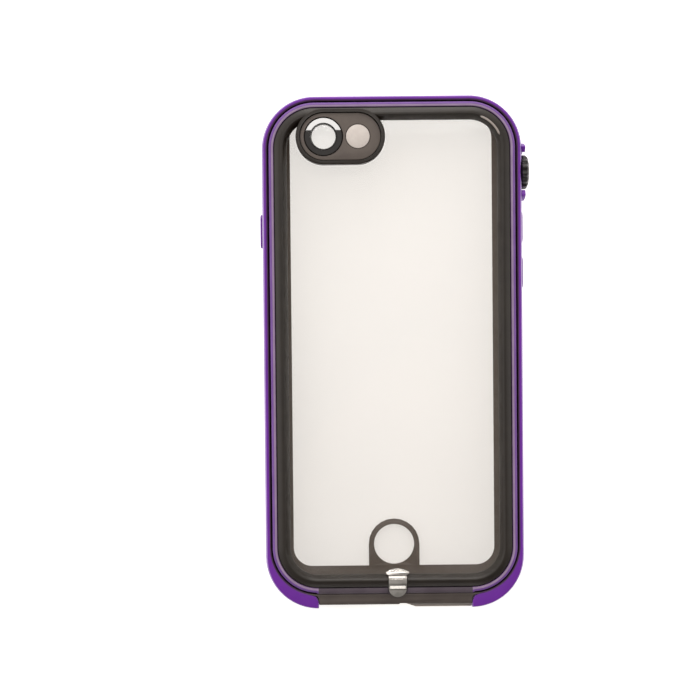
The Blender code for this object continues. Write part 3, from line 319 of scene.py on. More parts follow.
# The tree sweeps a closed section round a closed line. The line is the piece's own mesh and the
# section is another object's, drawn flat with its outward side along X and its height down Y.
sweep = bpy.data.node_groups.new("moulding swept round a line", "GeometryNodeTree")
sweep.interface.new_socket("Line", in_out="INPUT", socket_type="NodeSocketGeometry")
section_socket = sweep.interface.new_socket(
    "Section", in_out="INPUT", socket_type="NodeSocketObject"
)
finish_socket = sweep.interface.new_socket(
    "Finish", in_out="INPUT", socket_type="NodeSocketMaterial"
)
sweep.interface.new_socket("Moulding", in_out="OUTPUT", socket_type="NodeSocketGeometry")
sweep_in = add_node(sweep, "NodeGroupInput")
line = add_node(sweep, "GeometryNodeMeshToCurve", {"Mesh": sweep_in.outputs["Line"]})
level = add_node(sweep, "GeometryNodeSetCurveNormal", {"Curve": line.outputs["Curve"]}, mode="Z_UP")
drawn = add_node(sweep, "GeometryNodeObjectInfo", {"Object": sweep_in.outputs["Section"]})
edge = add_node(sweep, "GeometryNodeMeshToCurve", {"Mesh": drawn.outputs["Geometry"]})
swept = add_node(
    sweep,
    "GeometryNodeCurveToMesh",
    {"Curve": level.outputs["Curve"], "Profile Curve": edge.outputs["Curve"]},
)
real = add_node(sweep, "GeometryNodeRealizeInstances", {"Geometry": swept.outputs["Mesh"]})
painted = add_node(
    sweep,
    "GeometryNodeSetMaterial",
    {"Geometry": real.outputs["Geometry"], "Material": sweep_in.outputs["Finish"]},
)
add_node(sweep, "NodeGroupOutput", {"Moulding": painted.outputs["Geometry"]})


def wire(name, points):
    """A closed line of straight edges through points."""
    mesh = bpy.data.meshes.new(name)
    count = len(points)
    mesh.from_pydata(points, [(index, (index + 1) % count) for index in range(count)], [])
    made = bpy.data.objects.new(name, mesh)
    bpy.context.scene.collection.objects.link(made)
    return made


def moulding(name, section, material):
    """A ring whose section is given as (distance outside the cavity, height)."""
    line_points = outline(cavity_half, cavity_low, cavity_high, CAVITY_CORNER)
    ring = wire(name, [(x, y, 0.0) for x, y in line_points])
    profile = wire(f"{name}_section", [(out, -height, 0.0) for out, height in section])
    modifier = ring.modifiers.new("sweep", "NODES")
    modifier.node_group = sweep
    modifier[section_socket.identifier] = profile
    modifier[finish_socket.identifier] = material
    graph = bpy.context.evaluated_depsgraph_get()
    mesh = bpy.data.meshes.new_from_object(ring.evaluated_get(graph))
    ring.modifiers.clear()
    ring.data = mesh
    bpy.data.objects.remove(profile, do_unlink=True)
    return ring


# Front half
# A frame of black polycarbonate, injection moulded: the rim, the flared edge along the seam and
# the block at the bottom edge. A fine spark-eroded texture leaves it satin and a little brown.
black_plastic = finish(
    "black moulded polycarbonate",
    ("#221B15", "#29221B"),
    6 * MM,
    (0.30, 0.42),
    0.35 * MM,
    0.0015 * MM,
    IOR=1.5,
)
# A grey ink border printed round the screen, flat and slightly speckled.
border_ink = finish(
    "grey border ink", ("#645F5B", "#6C6764"), 5 * MM, (0.45, 0.6), 0.3 * MM, 0.001 * MM
)
# The bottom block's upward faces are painted a shade greyer than the rim, as painted light on its
# flat top.
lit_block_plastic = finish(
    "scuffed black polycarbonate",
    ("#534A46", "#5B524D"),
    5 * MM,
    (0.36, 0.48),
    0.35 * MM,
    0.0015 * MM,
    IOR=1.58,
)
# The rim's flat top is tinted plum.
rim_plum = finish(
    "polycarbonate under rubber flash",
    ("#54355A", "#5C3C62"),
    5 * MM,
    (0.4, 0.52),
    0.35 * MM,
    0.0015 * MM,
    IOR=1.5,
)
front_shell = copy_of("front_frame", black_plastic, border_ink, lit_block_plastic, rim_plum)
film_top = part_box("front_window")[1].z
BORDER_REACH = 1.5 * MM
BLOCK_START = 2.1 * MM
RIM_TOP = 0.05 * MM
TOUCHING = 0.01 * MM
FACING_UP = 0.3
for face in front_shell.data.polygons:
    x, y, z = face.center
    inside = abs(x) < cavity_half + TOUCHING and cavity_low < y < cavity_high
    if inside and z < film_top + BORDER_REACH:
        face.material_index = 1
    # The block's upward faces take the lighter grey as painted light.
    if y < cavity_low - BLOCK_START and face.normal.z > FACING_UP:
        face.material_index = 2
    # The rim's upward faces take the plum tint.
    elif z > seam_top - RIM_TOP and face.normal.z > FACING_UP:
        face.material_index = 3
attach(front_shell, "front_half")
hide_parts("front_frame")

# Screen film and key disc
# A clear sheet of PET film under the flange, and a thinner disc of it over the phone's round key.
# It was laid by hand, so it is glossy with a few long soft waves.
CLEAR_ALPHA = 0.085
clear_film = finish(
    "clear PET film",
    ("#80684E", "#886F54"),
    30 * MM,
    (0.02, 0.06),
    9 * MM,
    0.02 * MM,
    IOR=1.57,
    Alpha=CLEAR_ALPHA,
)


def recoat(node, material):
    """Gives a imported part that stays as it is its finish."""
    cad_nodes[node].data.materials.clear()
    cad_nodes[node].data.materials.append(material)


for name in ("front_window", "touch_film"):
    recoat(name, clear_film)

# Bumper
# Soft purple thermoplastic rubber moulded over the frame, with a thin lip over the rim's edge. It
# runs round both sides and the camera end, swells at the bottom corners, and butts against the
# block there with rounded ends.
BUMPER_CORNER = 15.35 * MM
BUMPER_INNER = 2.7 * MM
BUMPER_LIP = 2.45 * MM
BUMPER_END_X = 22.6 * MM
BUMPER_END_RADIUS = 1.6 * MM
BUMPER_END_DROP = 2.8 * MM
BUMPER_EASE = 0.35 * MM
BUMPER_TUCK = 0.9 * MM
BUMPER_TUCK_HEIGHT = 2.2 * MM
BUMPER_LEAN = 0.65 * MM
BUMPER_LEAN_HEIGHT = 2.7 * MM
BUMPER_SHOULDER = 1.6 * MM
TUCK_SHARES = (0.0, 0.15, 0.35, 0.6, 1.0)
LEAN_SHARES = (0.0, 0.3, 0.55, 0.75, 0.9, 1.0)
# The points crowd together towards the bumper's two ends, by this power of their share.
END_CROWDING = 1.8

purple_rubber = finish(
    "purple thermoplastic rubber",
    ("#701BA6", "#7820AE"),
    9 * MM,
    (0.42, 0.55),
    0.4 * MM,
    0.003 * MM,
    IOR=1.5,
    Sheen_Weight=0.7,
    Sheen_Roughness=0.4,
)
bumper_low, bumper_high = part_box("bumper")
bumper_half = -bumper_low.x


def u_line(half, low, high, corner, first_angle):
    """Points from the right end at the bottom, round the case, to the left end."""
    found = []
    centres = (
        (half - corner, low + corner),
        (half - corner, high - corner),
        (corner - half, high - corner),
        (corner - half, low + corner),
    )
    for quarter, (x, y) in enumerate(centres):
        start = first_angle if quarter == 0 else 0.0
        end = math.pi / 2 - (first_angle if quarter == 3 else 0.0)
        for step in range(CORNER_STEPS + 1):
            share = step / CORNER_STEPS
            if quarter == 0:
                share = share**END_CROWDING
            if quarter == 3:
                share = 1 - (1 - share) ** END_CROWDING
            angle = math.pi / 2 * (quarter - 1) + start + (end - start) * share
            normal = Vector((math.cos(angle), math.sin(angle)))
            found.append((Vector((x, y)) + normal * corner, normal))
    return found


end_angle = math.asin((BUMPER_END_X - bumper_half + BUMPER_CORNER) / BUMPER_CORNER)
outer_line = u_line(bumper_half, bumper_low.y, bumper_high.y, BUMPER_CORNER, end_angle)
inner_corner = CAVITY_CORNER + BUMPER_INNER
inner_line = u_line(
    cavity_half + BUMPER_INNER,
    cavity_low - BUMPER_INNER,
    cavity_high + BUMPER_INNER,
    inner_corner,
    math.asin((BUMPER_END_X - cavity_half + CAVITY_CORNER) / inner_corner),
)
end_centre = Vector(
    (BUMPER_END_X + BUMPER_END_RADIUS, cavity_low - BUMPER_END_DROP - BUMPER_END_RADIUS)
)


def inner_edge(point):
    """The bumper's inner line, which turns outwards in a quarter round at each end."""
    x, y = point
    off = end_centre.x - abs(x)
    if off <= 0 or y > 0:
        return point
    off = min(off, BUMPER_END_RADIUS)
    round_y = end_centre.y + math.sqrt(max(BUMPER_END_RADIUS**2 - off**2, 0.0))
    return Vector((x, min(y, round_y)))


bumper_loops = []
lean_low = seam_top - BUMPER_LEAN_HEIGHT
shoulder = seam_top - BUMPER_SHOULDER
for (outer_point, outward), (inner_point, _outward) in zip(outer_line, inner_line):
    shape = []
    for share in TUCK_SHARES:
        away = outer_point - outward * BUMPER_TUCK * (1 - share) ** 3
        shape.append((*away, bumper_low.z + BUMPER_TUCK_HEIGHT * share))
    for share in LEAN_SHARES:
        away = outer_point - outward * BUMPER_LEAN * share**2
        shape.append((*away, lean_low + BUMPER_LEAN_HEIGHT * share))
    inner = inner_edge(inner_point)
    over_rim = inner + outward * (BUMPER_LIP - BUMPER_INNER)
    shape.append((*over_rim, bumper_high.z))
    shape.append((*over_rim, shoulder))
    shape.append((*inner, shoulder - (BUMPER_LIP - BUMPER_INNER)))
    shape.append((*inner, bumper_low.z + BUMPER_EASE))
    bumper_loops.append(eased(shape, BUMPER_EASE))


def drawn_in(loop, share, along):
    """An end of the bumper drawn in towards its middle and moved a little along the case."""
    middle = sum((Vector(point) for point in loop), Vector()) / len(loop)
    shift = Vector((along, 0.0, 0.0))
    return [tuple(middle + (Vector(point) - middle) * share + shift) for point in loop]


END_EASE = 0.25 * MM
END_SHAPES = ((0.97, 0.35), (0.9, 0.0))
first, last = bumper_loops[0], bumper_loops[-1]
for share, along in END_SHAPES:
    bumper_loops.insert(0, drawn_in(first, share, -END_EASE * (1 - along)))
    bumper_loops.append(drawn_in(last, share, END_EASE * (1 - along)))
bumper = build_mesh("bumper_body", bumper_loops)

# The windows for the buttons, the well for the dial and its two guards are cut and joined here.
GAP = 0.3 * MM
WINDOW_STEPS = 10
ROUNDED = math.radians(50)


def slot_outline(centre, length, width, steps=WINDOW_STEPS):
    """A slot with half-round ends, along the first of its two axes."""
    radius = width / 2
    found = []
    for side in (1, -1):
        for step in range(steps + 1):
            angle = math.pi * (step / steps - 0.5) + (0 if side > 0 else math.pi)
            a = centre[0] + side * (length / 2 - radius) + radius * math.cos(angle)
            found.append((a, centre[1] + radius * math.sin(angle)))
    return found


def along_x(name, points, low, high):
    """A flat shape in Y and Z drawn out along X."""
    return build_mesh(name, [[(x, y, z) for y, z in points] for x in (low, high)])


def along_z(name, points, low, high):
    """A flat shape in X and Y drawn out along Z."""
    return build_mesh(name, [[(x, y, z) for x, y in points] for z in (low, high)])


def round_edges(piece, width, segments=4, sharp=ROUNDED):
    """Rounds every edge of a piece that turns by more than an angle."""
    rounding = piece.modifiers.new("round", "BEVEL")
    rounding.width = width
    rounding.segments = segments
    rounding.angle_limit = sharp


BUTTONS = ("power_button", "volume_up_button", "volume_down_button")
for name in BUTTONS:
    low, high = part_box(name)
    middle = ((low.y + high.y) / 2, (low.z + high.z) / 2)
    shape = slot_outline(middle, high.y - low.y + 2 * GAP, high.z - low.z + 2 * GAP)
    side = 1 if high.x > 0 else -1
    window = along_x(f"{name}_window", shape, side * cavity_half, side * (bumper_half + GAP))
    combine(bumper, window, "DIFFERENCE")

dial_low, dial_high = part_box("mute_dial")
dial_y = (dial_low.y + dial_high.y) / 2
dial_z = (dial_low.z + dial_high.z) / 2
DIAL_RADIUS = 4.95 * MM
GUARD_INNER = 6.4 * MM
GUARD_OUTER = 8.35 * MM
GUARD_HALF_ANGLE = math.radians(33)
GUARD_ROOT = 3.5 * MM
GUARD_EASE = 0.3 * MM
GUARD_STEPS = 14
SHAFT_HOLE = 1.3 * MM
SHAFT_HOLE_STEPS = 32
for turn in (0.0, math.pi):
    shape = []
    for radius, ends in ((GUARD_OUTER, (-1, 1)), (GUARD_INNER, (1, -1))):
        for step in range(GUARD_STEPS + 1):
            share = ends[0] + (ends[1] - ends[0]) * step / GUARD_STEPS
            angle = turn + GUARD_HALF_ANGLE * share
            shape.append((dial_y + radius * math.cos(angle), dial_z + radius * math.sin(angle)))
    name = "guard_up" if turn == 0.0 else "guard_down"
    guard = along_x(name, shape, cavity_half + GUARD_ROOT, bumper_high.x)
    round_edges(guard, GUARD_EASE)
    combine(bumper, guard, "UNION")
DIAL_STEPS = 96


def ring_points(centre, radius, steps=DIAL_STEPS):
    """Points round a circle."""
    turns = [2 * math.pi * step / steps for step in range(steps)]
    return [(centre[0] + radius * math.cos(t), centre[1] + radius * math.sin(t)) for t in turns]


well = ring_points((dial_y, dial_z), DIAL_RADIUS + GAP)
combine(bumper, along_x("dial_well", well, dial_low.x - GAP, dial_high.x), "DIFFERENCE")
hole = ring_points((dial_y, dial_z), SHAFT_HOLE, SHAFT_HOLE_STEPS)
combine(bumper, along_x("shaft_hole", hole, cavity_half, bumper_half), "DIFFERENCE")
settle(bumper, purple_rubber)
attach(bumper, "front_half")
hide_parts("bumper")

# Push buttons
# Pill-shaped caps of the same purple rubber over a hard core, each proud of its window in the
# bumper and sprung outwards. Their stems run through sealed bores to the phone's own keys.
CAP_EASE = 0.3 * MM
button_rubber = finish(
    "purple button rubber",
    ("#6A2E96", "#72349E"),
    4 * MM,
    (0.38, 0.5),
    0.35 * MM,
    0.002 * MM,
    IOR=1.5,
)
BUTTON_BODIES = ("power_key", "volume_up_key", "volume_down_key")
STEM_RADIUS = 0.9 * MM
STEM_STEPS = 24
CAP_SEAT = 2.4 * MM
CAP_DEPTH = 0.9 * MM
for name, body in zip(BUTTONS, BUTTON_BODIES):
    low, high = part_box(name)
    middle = ((low.y + high.y) / 2, (low.z + high.z) / 2)
    side = 1 if high.x > 0 else -1
    face = high.x if side > 0 else low.x
    stem_end = low.x if side > 0 else high.x
    back = side * (cavity_half + CAP_SEAT + CAP_DEPTH)
    shape = slot_outline(middle, high.y - low.y, high.z - low.z)
    cap = along_x(f"{name}_cap", shape, back, face)
    round_edges(cap, CAP_EASE)
    round_bar = ring_points(middle, STEM_RADIUS, STEM_STEPS)
    stem = along_x(f"{name}_stem", round_bar, stem_end, back + side * GAP)
    combine(cap, stem, "UNION")
    settle(cap, button_rubber)
    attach(cap, body)
    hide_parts(name)

# Mute dial
# A knob of black acetal with fourteen flutes round a low dome, turned and then fluted. Its gloss
# is a little higher than the frame's, because fingers polish it.
DIAL_FLUTES = 14
DIAL_FLUTE_DEPTH = 0.42 * MM
DIAL_FOOT = 0.5 * MM
DIAL_DOME_HEIGHT = 1.1 * MM
DIAL_DOME_WIDTH = 2.6 * MM
DIAL_SOCKET = 1.8 * MM
SOCKET_RADIUS = 1.3 * MM
FLUTE_STEPS = 14
DOME_STEPS = 10
dial_black = finish(
    "black acetal",
    ("#1D1B1B", "#232020"),
    3 * MM,
    (0.24, 0.34),
    0.3 * MM,
    0.001 * MM,
    IOR=1.48,
)
profile = [(SOCKET_RADIUS, dial_low.x + DIAL_SOCKET), (SOCKET_RADIUS, dial_low.x)]
profile += [(DIAL_RADIUS - DIAL_FOOT, dial_low.x), (DIAL_RADIUS, dial_low.x + DIAL_FOOT)]
for step in range(DOME_STEPS + 1):
    angle = math.pi / 2 * step / DOME_STEPS
    radius = DIAL_RADIUS - DIAL_DOME_WIDTH * (1 - math.cos(angle))
    profile.append((radius, dial_high.x - DIAL_DOME_HEIGHT * (1 - math.sin(angle))))
knob_loops = []
for radius, x in profile:
    circle = ring_points((dial_y, dial_z), radius, DIAL_FLUTES * FLUTE_STEPS)
    knob_loops.append([(x, y, z) for y, z in circle])
knob = build_mesh("mute_dial_knob", knob_loops)

# The tree presses each flute in by a cosine round the axis, and fades it out towards the middle.
flutes = bpy.data.node_groups.new("flutes round a knob", "GeometryNodeTree")
flutes.interface.new_socket("Knob", in_out="INPUT", socket_type="NodeSocketGeometry")
flute_inputs = {}
for name, kind in (
    ("Middle", "NodeSocketVector"),
    ("Flutes", "NodeSocketFloat"),
    ("Depth", "NodeSocketFloat"),
    ("Inner radius", "NodeSocketFloat"),
    ("Outer radius", "NodeSocketFloat"),
    ("Finish", "NodeSocketMaterial"),
):
    socket = flutes.interface.new_socket(name, in_out="INPUT", socket_type=kind)
    flute_inputs[name] = socket.identifier
flutes.interface.new_socket("Fluted knob", in_out="OUTPUT", socket_type="NodeSocketGeometry")
flute_in = add_node(flutes, "NodeGroupInput").outputs
position = add_node(flutes, "GeometryNodeInputPosition").outputs["Position"]


def vector_step(operation, inputs):
    """Adds one step of vector arithmetic to the flutes' tree."""
    return add_node(flutes, "ShaderNodeVectorMath", inputs, operation=operation).outputs


def number_step(operation, inputs):
    """Adds one step of arithmetic to the flutes' tree."""
    return add_node(flutes, "ShaderNodeMath", inputs, operation=operation).outputs[0]


arm = vector_step("SUBTRACT", {0: position, 1: flute_in["Middle"]})[0]
flat_arm = vector_step("MULTIPLY", {0: arm, 1: (0.0, 1.0, 1.0)})[0]
reach = vector_step("LENGTH", {0: flat_arm})["Value"]
sides = add_node(flutes, "ShaderNodeSeparateXYZ", {0: flat_arm}).outputs
turn = number_step("ARCTAN2", {0: sides["Z"], 1: sides["Y"]})
phase = number_step("MULTIPLY", {0: turn, 1: flute_in["Flutes"]})
wave = number_step("COSINE", {0: phase})
dip = number_step("MULTIPLY_ADD", {0: wave, 1: -0.5, 2: 0.5})
fade = {"Value": reach, "From Min": flute_in["Inner radius"], "From Max": flute_in["Outer radius"]}
fade = add_node(flutes, "ShaderNodeMapRange", fade, interpolation_type="SMOOTHSTEP")
depth_here = number_step("MULTIPLY", {0: dip, 1: fade.outputs["Result"]})
pressed = number_step("MULTIPLY", {0: depth_here, 1: flute_in["Depth"]})
outward = vector_step("NORMALIZE", {0: flat_arm})[0]
inward = number_step("MULTIPLY", {0: pressed, 1: -1.0})
offset = vector_step("SCALE", {0: outward, "Scale": inward})[0]
moved = add_node(
    flutes, "GeometryNodeSetPosition", {"Geometry": flute_in["Knob"], "Offset": offset}
)
real = add_node(flutes, "GeometryNodeRealizeInstances", {"Geometry": moved.outputs["Geometry"]})
painted = add_node(
    flutes,
    "GeometryNodeSetMaterial",
    {"Geometry": real.outputs["Geometry"], "Material": flute_in["Finish"]},
)
add_node(flutes, "NodeGroupOutput", {"Fluted knob": painted.outputs["Geometry"]})
modifier = knob.modifiers.new("flutes", "NODES")
modifier.node_group = flutes
flute_values = {
    "Middle": (0.0, dial_y, dial_z),
    "Flutes": float(DIAL_FLUTES),
    "Depth": DIAL_FLUTE_DEPTH,
    "Inner radius": DIAL_RADIUS - DIAL_DOME_WIDTH,
    "Outer radius": DIAL_RADIUS - DIAL_FOOT,
    "Finish": dial_black,
}
for name, value in flute_values.items():
    modifier[flute_inputs[name]] = value
settle(knob, dial_black)
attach(knob, "dial")
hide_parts("mute_dial")

# Port cover
# A grey polycarbonate flap in a pocket of the bottom block, hinged along its screen side. Its
# pull stands out of the edge, with a small ramp and a notch beside it for a fingernail.
# The same grey also stands as the painted highlight on the pry bead's crest.
cover_grey_and_bead_highlight = finish(
    "grey moulded polycarbonate",
    ("#A69C95", "#AEA49D"),
    5 * MM,
    (0.34, 0.46),
    0.35 * MM,
    0.0015 * MM,
    IOR=1.58,
)
port_flap = copy_of("port_cover", cover_grey_and_bead_highlight)
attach(port_flap, "port_door")
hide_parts("port_cover")

# Back cover's ring
# A second ring of black polycarbonate. It carries the crowned ridge, the rim of the camera window
# and the groove for the main seal, and it drops into the front half all round.
RIDGE_START = -0.05 * MM
RIDGE_CROWN = -2.0 * MM
RIDGE_INNER = -3.55 * MM
RIDGE_SHOULDER = 0.9 * MM
RIDGE_EDGE = 0.15 * MM
SKIRT = 1.2 * MM
SKIRT_CHAMFER = 0.15 * MM
GROOVE_DEPTH = 0.7 * MM
PANEL_SEAT = -1.05 * MM
PANEL_BED = 0.05 * MM
FIT = 0.3 * MM
LAND_DROP = 0.3 * MM
GROOVE_LIFT = 0.25 * MM
GROOVE_HEIGHT = 0.9 * MM
OUTER_STEPS = 8
OUTER_CROWN = 1.6
INNER_STEPS = 10
INNER_CROWN = 1.5

skirt_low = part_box("back_frame")[0].z
land = panel_top - LAND_DROP
ridge_low = panel_top + FIT
groove_low = skirt_low + GROOVE_LIFT
ridge_section = [
    (SKIRT - SKIRT_CHAMFER, skirt_low),
    (SKIRT, skirt_low + SKIRT_CHAMFER),
    (SKIRT, groove_low),
    (SKIRT - GROOVE_DEPTH, groove_low),
    (SKIRT - GROOVE_DEPTH, groove_low + GROOVE_HEIGHT),
    (SKIRT, groove_low + GROOVE_HEIGHT),
    (SKIRT, land),
    (RIDGE_START, land),
    (RIDGE_START, ridge_top - RIDGE_SHOULDER),
]
for step in range(1, OUTER_STEPS + 1):
    share = step / OUTER_STEPS
    out = RIDGE_START + (RIDGE_CROWN - RIDGE_START) * share
    ridge_section.append((out, ridge_top - RIDGE_SHOULDER * (1 - share) ** OUTER_CROWN))
ridge_fall = ridge_top - ridge_low - RIDGE_EDGE
for step in range(1, INNER_STEPS + 1):
    share = step / INNER_STEPS
    out = RIDGE_CROWN + (RIDGE_INNER - RIDGE_CROWN) * share
    ridge_section.append((out, ridge_top - ridge_fall * share**INNER_CROWN))
ridge_section += [
    (RIDGE_INNER, ridge_low),
    (PANEL_SEAT, ridge_low),
    (PANEL_SEAT, panel_low + PANEL_BED),
    (0.0, panel_low + PANEL_BED),
    (0.0, skirt_low),
]
ridge = moulding("back_ring", ridge_section, black_plastic)

plate_low, plate_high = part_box("camera_plate")
CAMERA_RIM = 1.3 * MM
CAMERA_LEDGE = 1.0 * MM
CAMERA_RIM_EASE = 0.35 * MM
CAMERA_STEPS = 40
camera_middle = ((plate_low.x + plate_high.x) / 2, (plate_low.y + plate_high.y) / 2)
plate_length = plate_high.x - plate_low.x
plate_width = plate_high.y - plate_low.y


def camera_shape(grown):
    """The camera window's stadium outline, grown or shrunk evenly from the plate's."""
    length, width = plate_length + 2 * grown, plate_width + 2 * grown
    return slot_outline(camera_middle, length, width, CAMERA_STEPS)


rim = along_z("camera_rim", camera_shape(CAMERA_RIM), panel_low + PANEL_BED, ridge_top)
round_edges(rim, CAMERA_RIM_EASE)
combine(ridge, rim, "UNION")
# A short raised bead on the ridge's corner shows where to pry the cover off; its crest is painted
# light grey as a painted highlight. It keeps its thickness nearly to its ends and thins out there.
BEAD_OUT = -2.35 * MM
BEAD_RADIUS = 0.32 * MM
BEAD_ANGLES = (math.radians(21), math.radians(71))
BEAD_STEPS = 24
BEAD_SIDES = 12
BEAD_TAPER = 0.8
BEAD_TAPER_POWER = 12
BEAD_HIGHLIGHT_FROM = 0.4
bead_loops = []
for step in range(BEAD_STEPS + 1):
    share = step / BEAD_STEPS
    angle = BEAD_ANGLES[0] + (BEAD_ANGLES[1] - BEAD_ANGLES[0]) * share
    thick = BEAD_RADIUS * (1 - abs(2 * share - 1) ** BEAD_TAPER_POWER * BEAD_TAPER)
    loop = []
    for turn in range(BEAD_SIDES):
        around = 2 * math.pi * turn / BEAD_SIDES
        reach = CAVITY_CORNER + BEAD_OUT + thick * math.cos(around)
        x = cavity_half - CAVITY_CORNER + reach * math.cos(angle)
        y = cavity_high - CAVITY_CORNER + reach * math.sin(angle)
        loop.append((x, y, ridge_top + thick * math.sin(around)))
    bead_loops.append(loop)
combine(ridge, build_mesh("pry_bead", bead_loops), "UNION")
PLATE_FIT = 0.2 * MM
above_ridge = ridge_top + GAP
through = camera_shape(PLATE_FIT - CAMERA_LEDGE)
opening = along_z("camera_opening", through, panel_low - GAP, above_ridge)
combine(ridge, opening, "DIFFERENCE")
seat = along_z("camera_seat", camera_shape(PLATE_FIT), plate_low.z - PLATE_FIT, above_ridge)
combine(ridge, seat, "DIFFERENCE")

STRIP_WIDTH = 5.25 * MM
strip_low, strip_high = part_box("lanyard_strip")
strip_x = (strip_low.x + strip_high.x) / 2
NOTCH_HALF = STRIP_WIDTH / 2 + FIT
CROWN_CUT = 0.5 * MM
LIP_CUT = 0.6 * MM
notch_left, notch_right = strip_x - NOTCH_HALF, strip_x + NOTCH_HALF
ridge_inside = cavity_low - RIDGE_INNER
notch = [(notch_left, cavity_low), (notch_right, cavity_low)]
notch += [(notch_right, ridge_inside), (notch_left, ridge_inside)]
combine(ridge, along_z("strip_notch", notch, ridge_top - CROWN_CUT, above_ridge), "DIFFERENCE")
settle(ridge, black_plastic, cover_grey_and_bead_highlight)
# The bead's crest takes the light grey as a painted highlight.
for face in ridge.data.polygons:
    if face.center.z > ridge_top + BEAD_RADIUS * BEAD_HIGHLIGHT_FROM:
        face.material_index = 1
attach(ridge, "back_cover")
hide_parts("back_frame")

# Lip
# A ring of softer, paler purple rubber beside the seam, moulded onto the back cover. Its inner
# edge carries a pale painted highlight, its stretch beside the block is painted dark grey as
# painted shade, and a notch lets the steel strip through.
LIP_INNER = 0.25 * MM
LIP_CROWN_HEIGHT = 0.8 * MM
LIP_CROWN_WIDTH = 0.75 * MM
LIP_EDGE = 0.25 * MM
LIP_OUTER_STEPS = 7
LIP_INNER_STEPS = 4
LIP_NOTCH = 2.6 * MM
lip_rubber = finish(
    "pale purple rubber lip",
    ("#774D9E", "#8157A8"),
    7 * MM,
    (0.36, 0.5),
    0.35 * MM,
    0.002 * MM,
    IOR=1.5,
)
# The same rubber, painted pale on its upward inner edge as a painted highlight.
lip_highlight_rubber = finish(
    "rubbed purple rubber",
    ("#A389AD", "#AD93B7"),
    4 * MM,
    (0.3, 0.42),
    0.3 * MM,
    0.002 * MM,
    IOR=1.5,
)
# Along the bottom block the lip is painted dark grey, with only a trace of purple, as painted
# shade.
shaded_lip_rubber = finish(
    "smoke grey rubber",
    ("#554A55", "#5E535E"),
    5 * MM,
    (0.4, 0.52),
    0.35 * MM,
    0.002 * MM,
    IOR=1.5,
)
lip_section = [(LIP_OUT, lip_low.z)]
for step in range(LIP_OUTER_STEPS + 1):
    angle = math.pi / 2 * step / LIP_OUTER_STEPS
    out = LIP_OUT - LIP_CROWN_WIDTH * (1 - math.cos(angle))
    lip_section.append((out, lip_high.z - LIP_CROWN_HEIGHT * (1 - math.sin(angle))))
for step in range(LIP_INNER_STEPS + 1):
    angle = math.pi / 2 * (1 + step / LIP_INNER_STEPS)
    out = LIP_INNER + LIP_EDGE * (1 + math.cos(angle))
    lip_section.append((out, lip_high.z - LIP_EDGE * (1 - math.sin(angle))))
lip_section.append((LIP_INNER, lip_low.z))
lip = moulding("lip_ring", lip_section, lip_rubber)
trim_notch = [(notch_left, cavity_low - LIP_NOTCH), (notch_right, cavity_low - LIP_NOTCH)]
trim_notch += [(notch_right, cavity_low), (notch_left, cavity_low)]
combine(lip, along_z("trim_notch", trim_notch, lip_high.z - LIP_CUT, ridge_top), "DIFFERENCE")
settle(lip, lip_rubber, lip_highlight_rubber, shaded_lip_rubber)
HIGHLIGHT_OUT = 0.95 * MM
HIGHLIGHT_FACING = 0.4
SPREAD = 0.4 * MM
STRAIGHT_HALF = cavity_half - CAVITY_CORNER


def outside(x, y):
    """How far a point lies outside the cavity's outline."""
    middle = (cavity_low + cavity_high) / 2
    off_x = max(abs(x) - STRAIGHT_HALF, 0.0)
    off_y = max(abs(y - middle) - (cavity_high - cavity_low) / 2 + CAVITY_CORNER, 0.0)
    return math.hypot(off_x, off_y) - CAVITY_CORNER


for face in lip.data.polygons:
    x, y, z = face.center
    # The stretch beside the block takes the dark grey painted shade.
    if y < cavity_low and abs(x) < STRAIGHT_HALF:
        face.material_index = 2
    # Upward faces along the inner edge take the pale painted highlight.
    elif outside(x, y) < HIGHLIGHT_OUT and face.normal.z > HIGHLIGHT_FACING:
        face.material_index = 1
# The bottom stretch reaches nearly to the block, so that no open groove shows there.
for vertex in lip.data.vertices:
    x, y, z = vertex.co
    if y < cavity_low and abs(x) < STRAIGHT_HALF + GAP:
        vertex.co.y -= SPREAD * max(cavity_low - LIP_INNER - y, 0.0) / (LIP_OUT - LIP_INNER)
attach(lip, "back_cover")
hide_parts("back_trim")

# Back panel
# A clear sheet of polycarbonate, pressed and polished, held under the ridge. It has the faint warm
# tint of the material and a trace of waviness.
clear_plastic = finish(
    "clear polycarbonate",
    ("#80684E", "#886F54"),
    25 * MM,
    (0.01, 0.04),
    14 * MM,
    0.02 * MM,
    IOR=1.585,
    Alpha=CLEAR_ALPHA,
)
recoat("back_window", clear_plastic)

# Camera window
# A grey polycarbonate plate in the rim, with a gloss black ring round the lens glass and a frosted
# disc in front of the flash. The glass is flat, uncoated and bonded from outside.
plate_grey = finish(
    "grey camera plate",
    ("#665C56", "#6D635C"),
    5 * MM,
    (0.52, 0.62),
    0.3 * MM,
    0.001 * MM,
    IOR=1.58,
)
ring_black = finish(
    "gloss black lens ring",
    ("#1E1B1A", "#242120"),
    2 * MM,
    (0.3, 0.4),
    0.4 * MM,
    0.0002 * MM,
    IOR=1.52,
    Specular_IOR_Level=0.0,
    Coat_Weight=1.0,
    Coat_Roughness=0.01,
    Coat_IOR=1.7,
)
lens_glass = finish(
    "lens glass",
    ("#F5F6F6", "#F8F9F9"),
    5 * MM,
    (0.0, 0.01),
    2 * MM,
    0.0002 * MM,
    IOR=1.52,
    Alpha=0.06,
)
frosted = finish(
    "frosted polycarbonate",
    ("#EAE0D9", "#F0E7E0"),
    1.5 * MM,
    (0.45, 0.6),
    0.25 * MM,
    0.002 * MM,
    IOR=1.58,
)
HOLE_STEPS = 64
lens_low, lens_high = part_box("lens_ring")
flash_low, flash_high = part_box("flash_window")
lens_middle = ((lens_low.x + lens_high.x) / 2, (lens_low.y + lens_high.y) / 2)
flash_middle = ((flash_low.x + flash_high.x) / 2, (flash_low.y + flash_high.y) / 2)
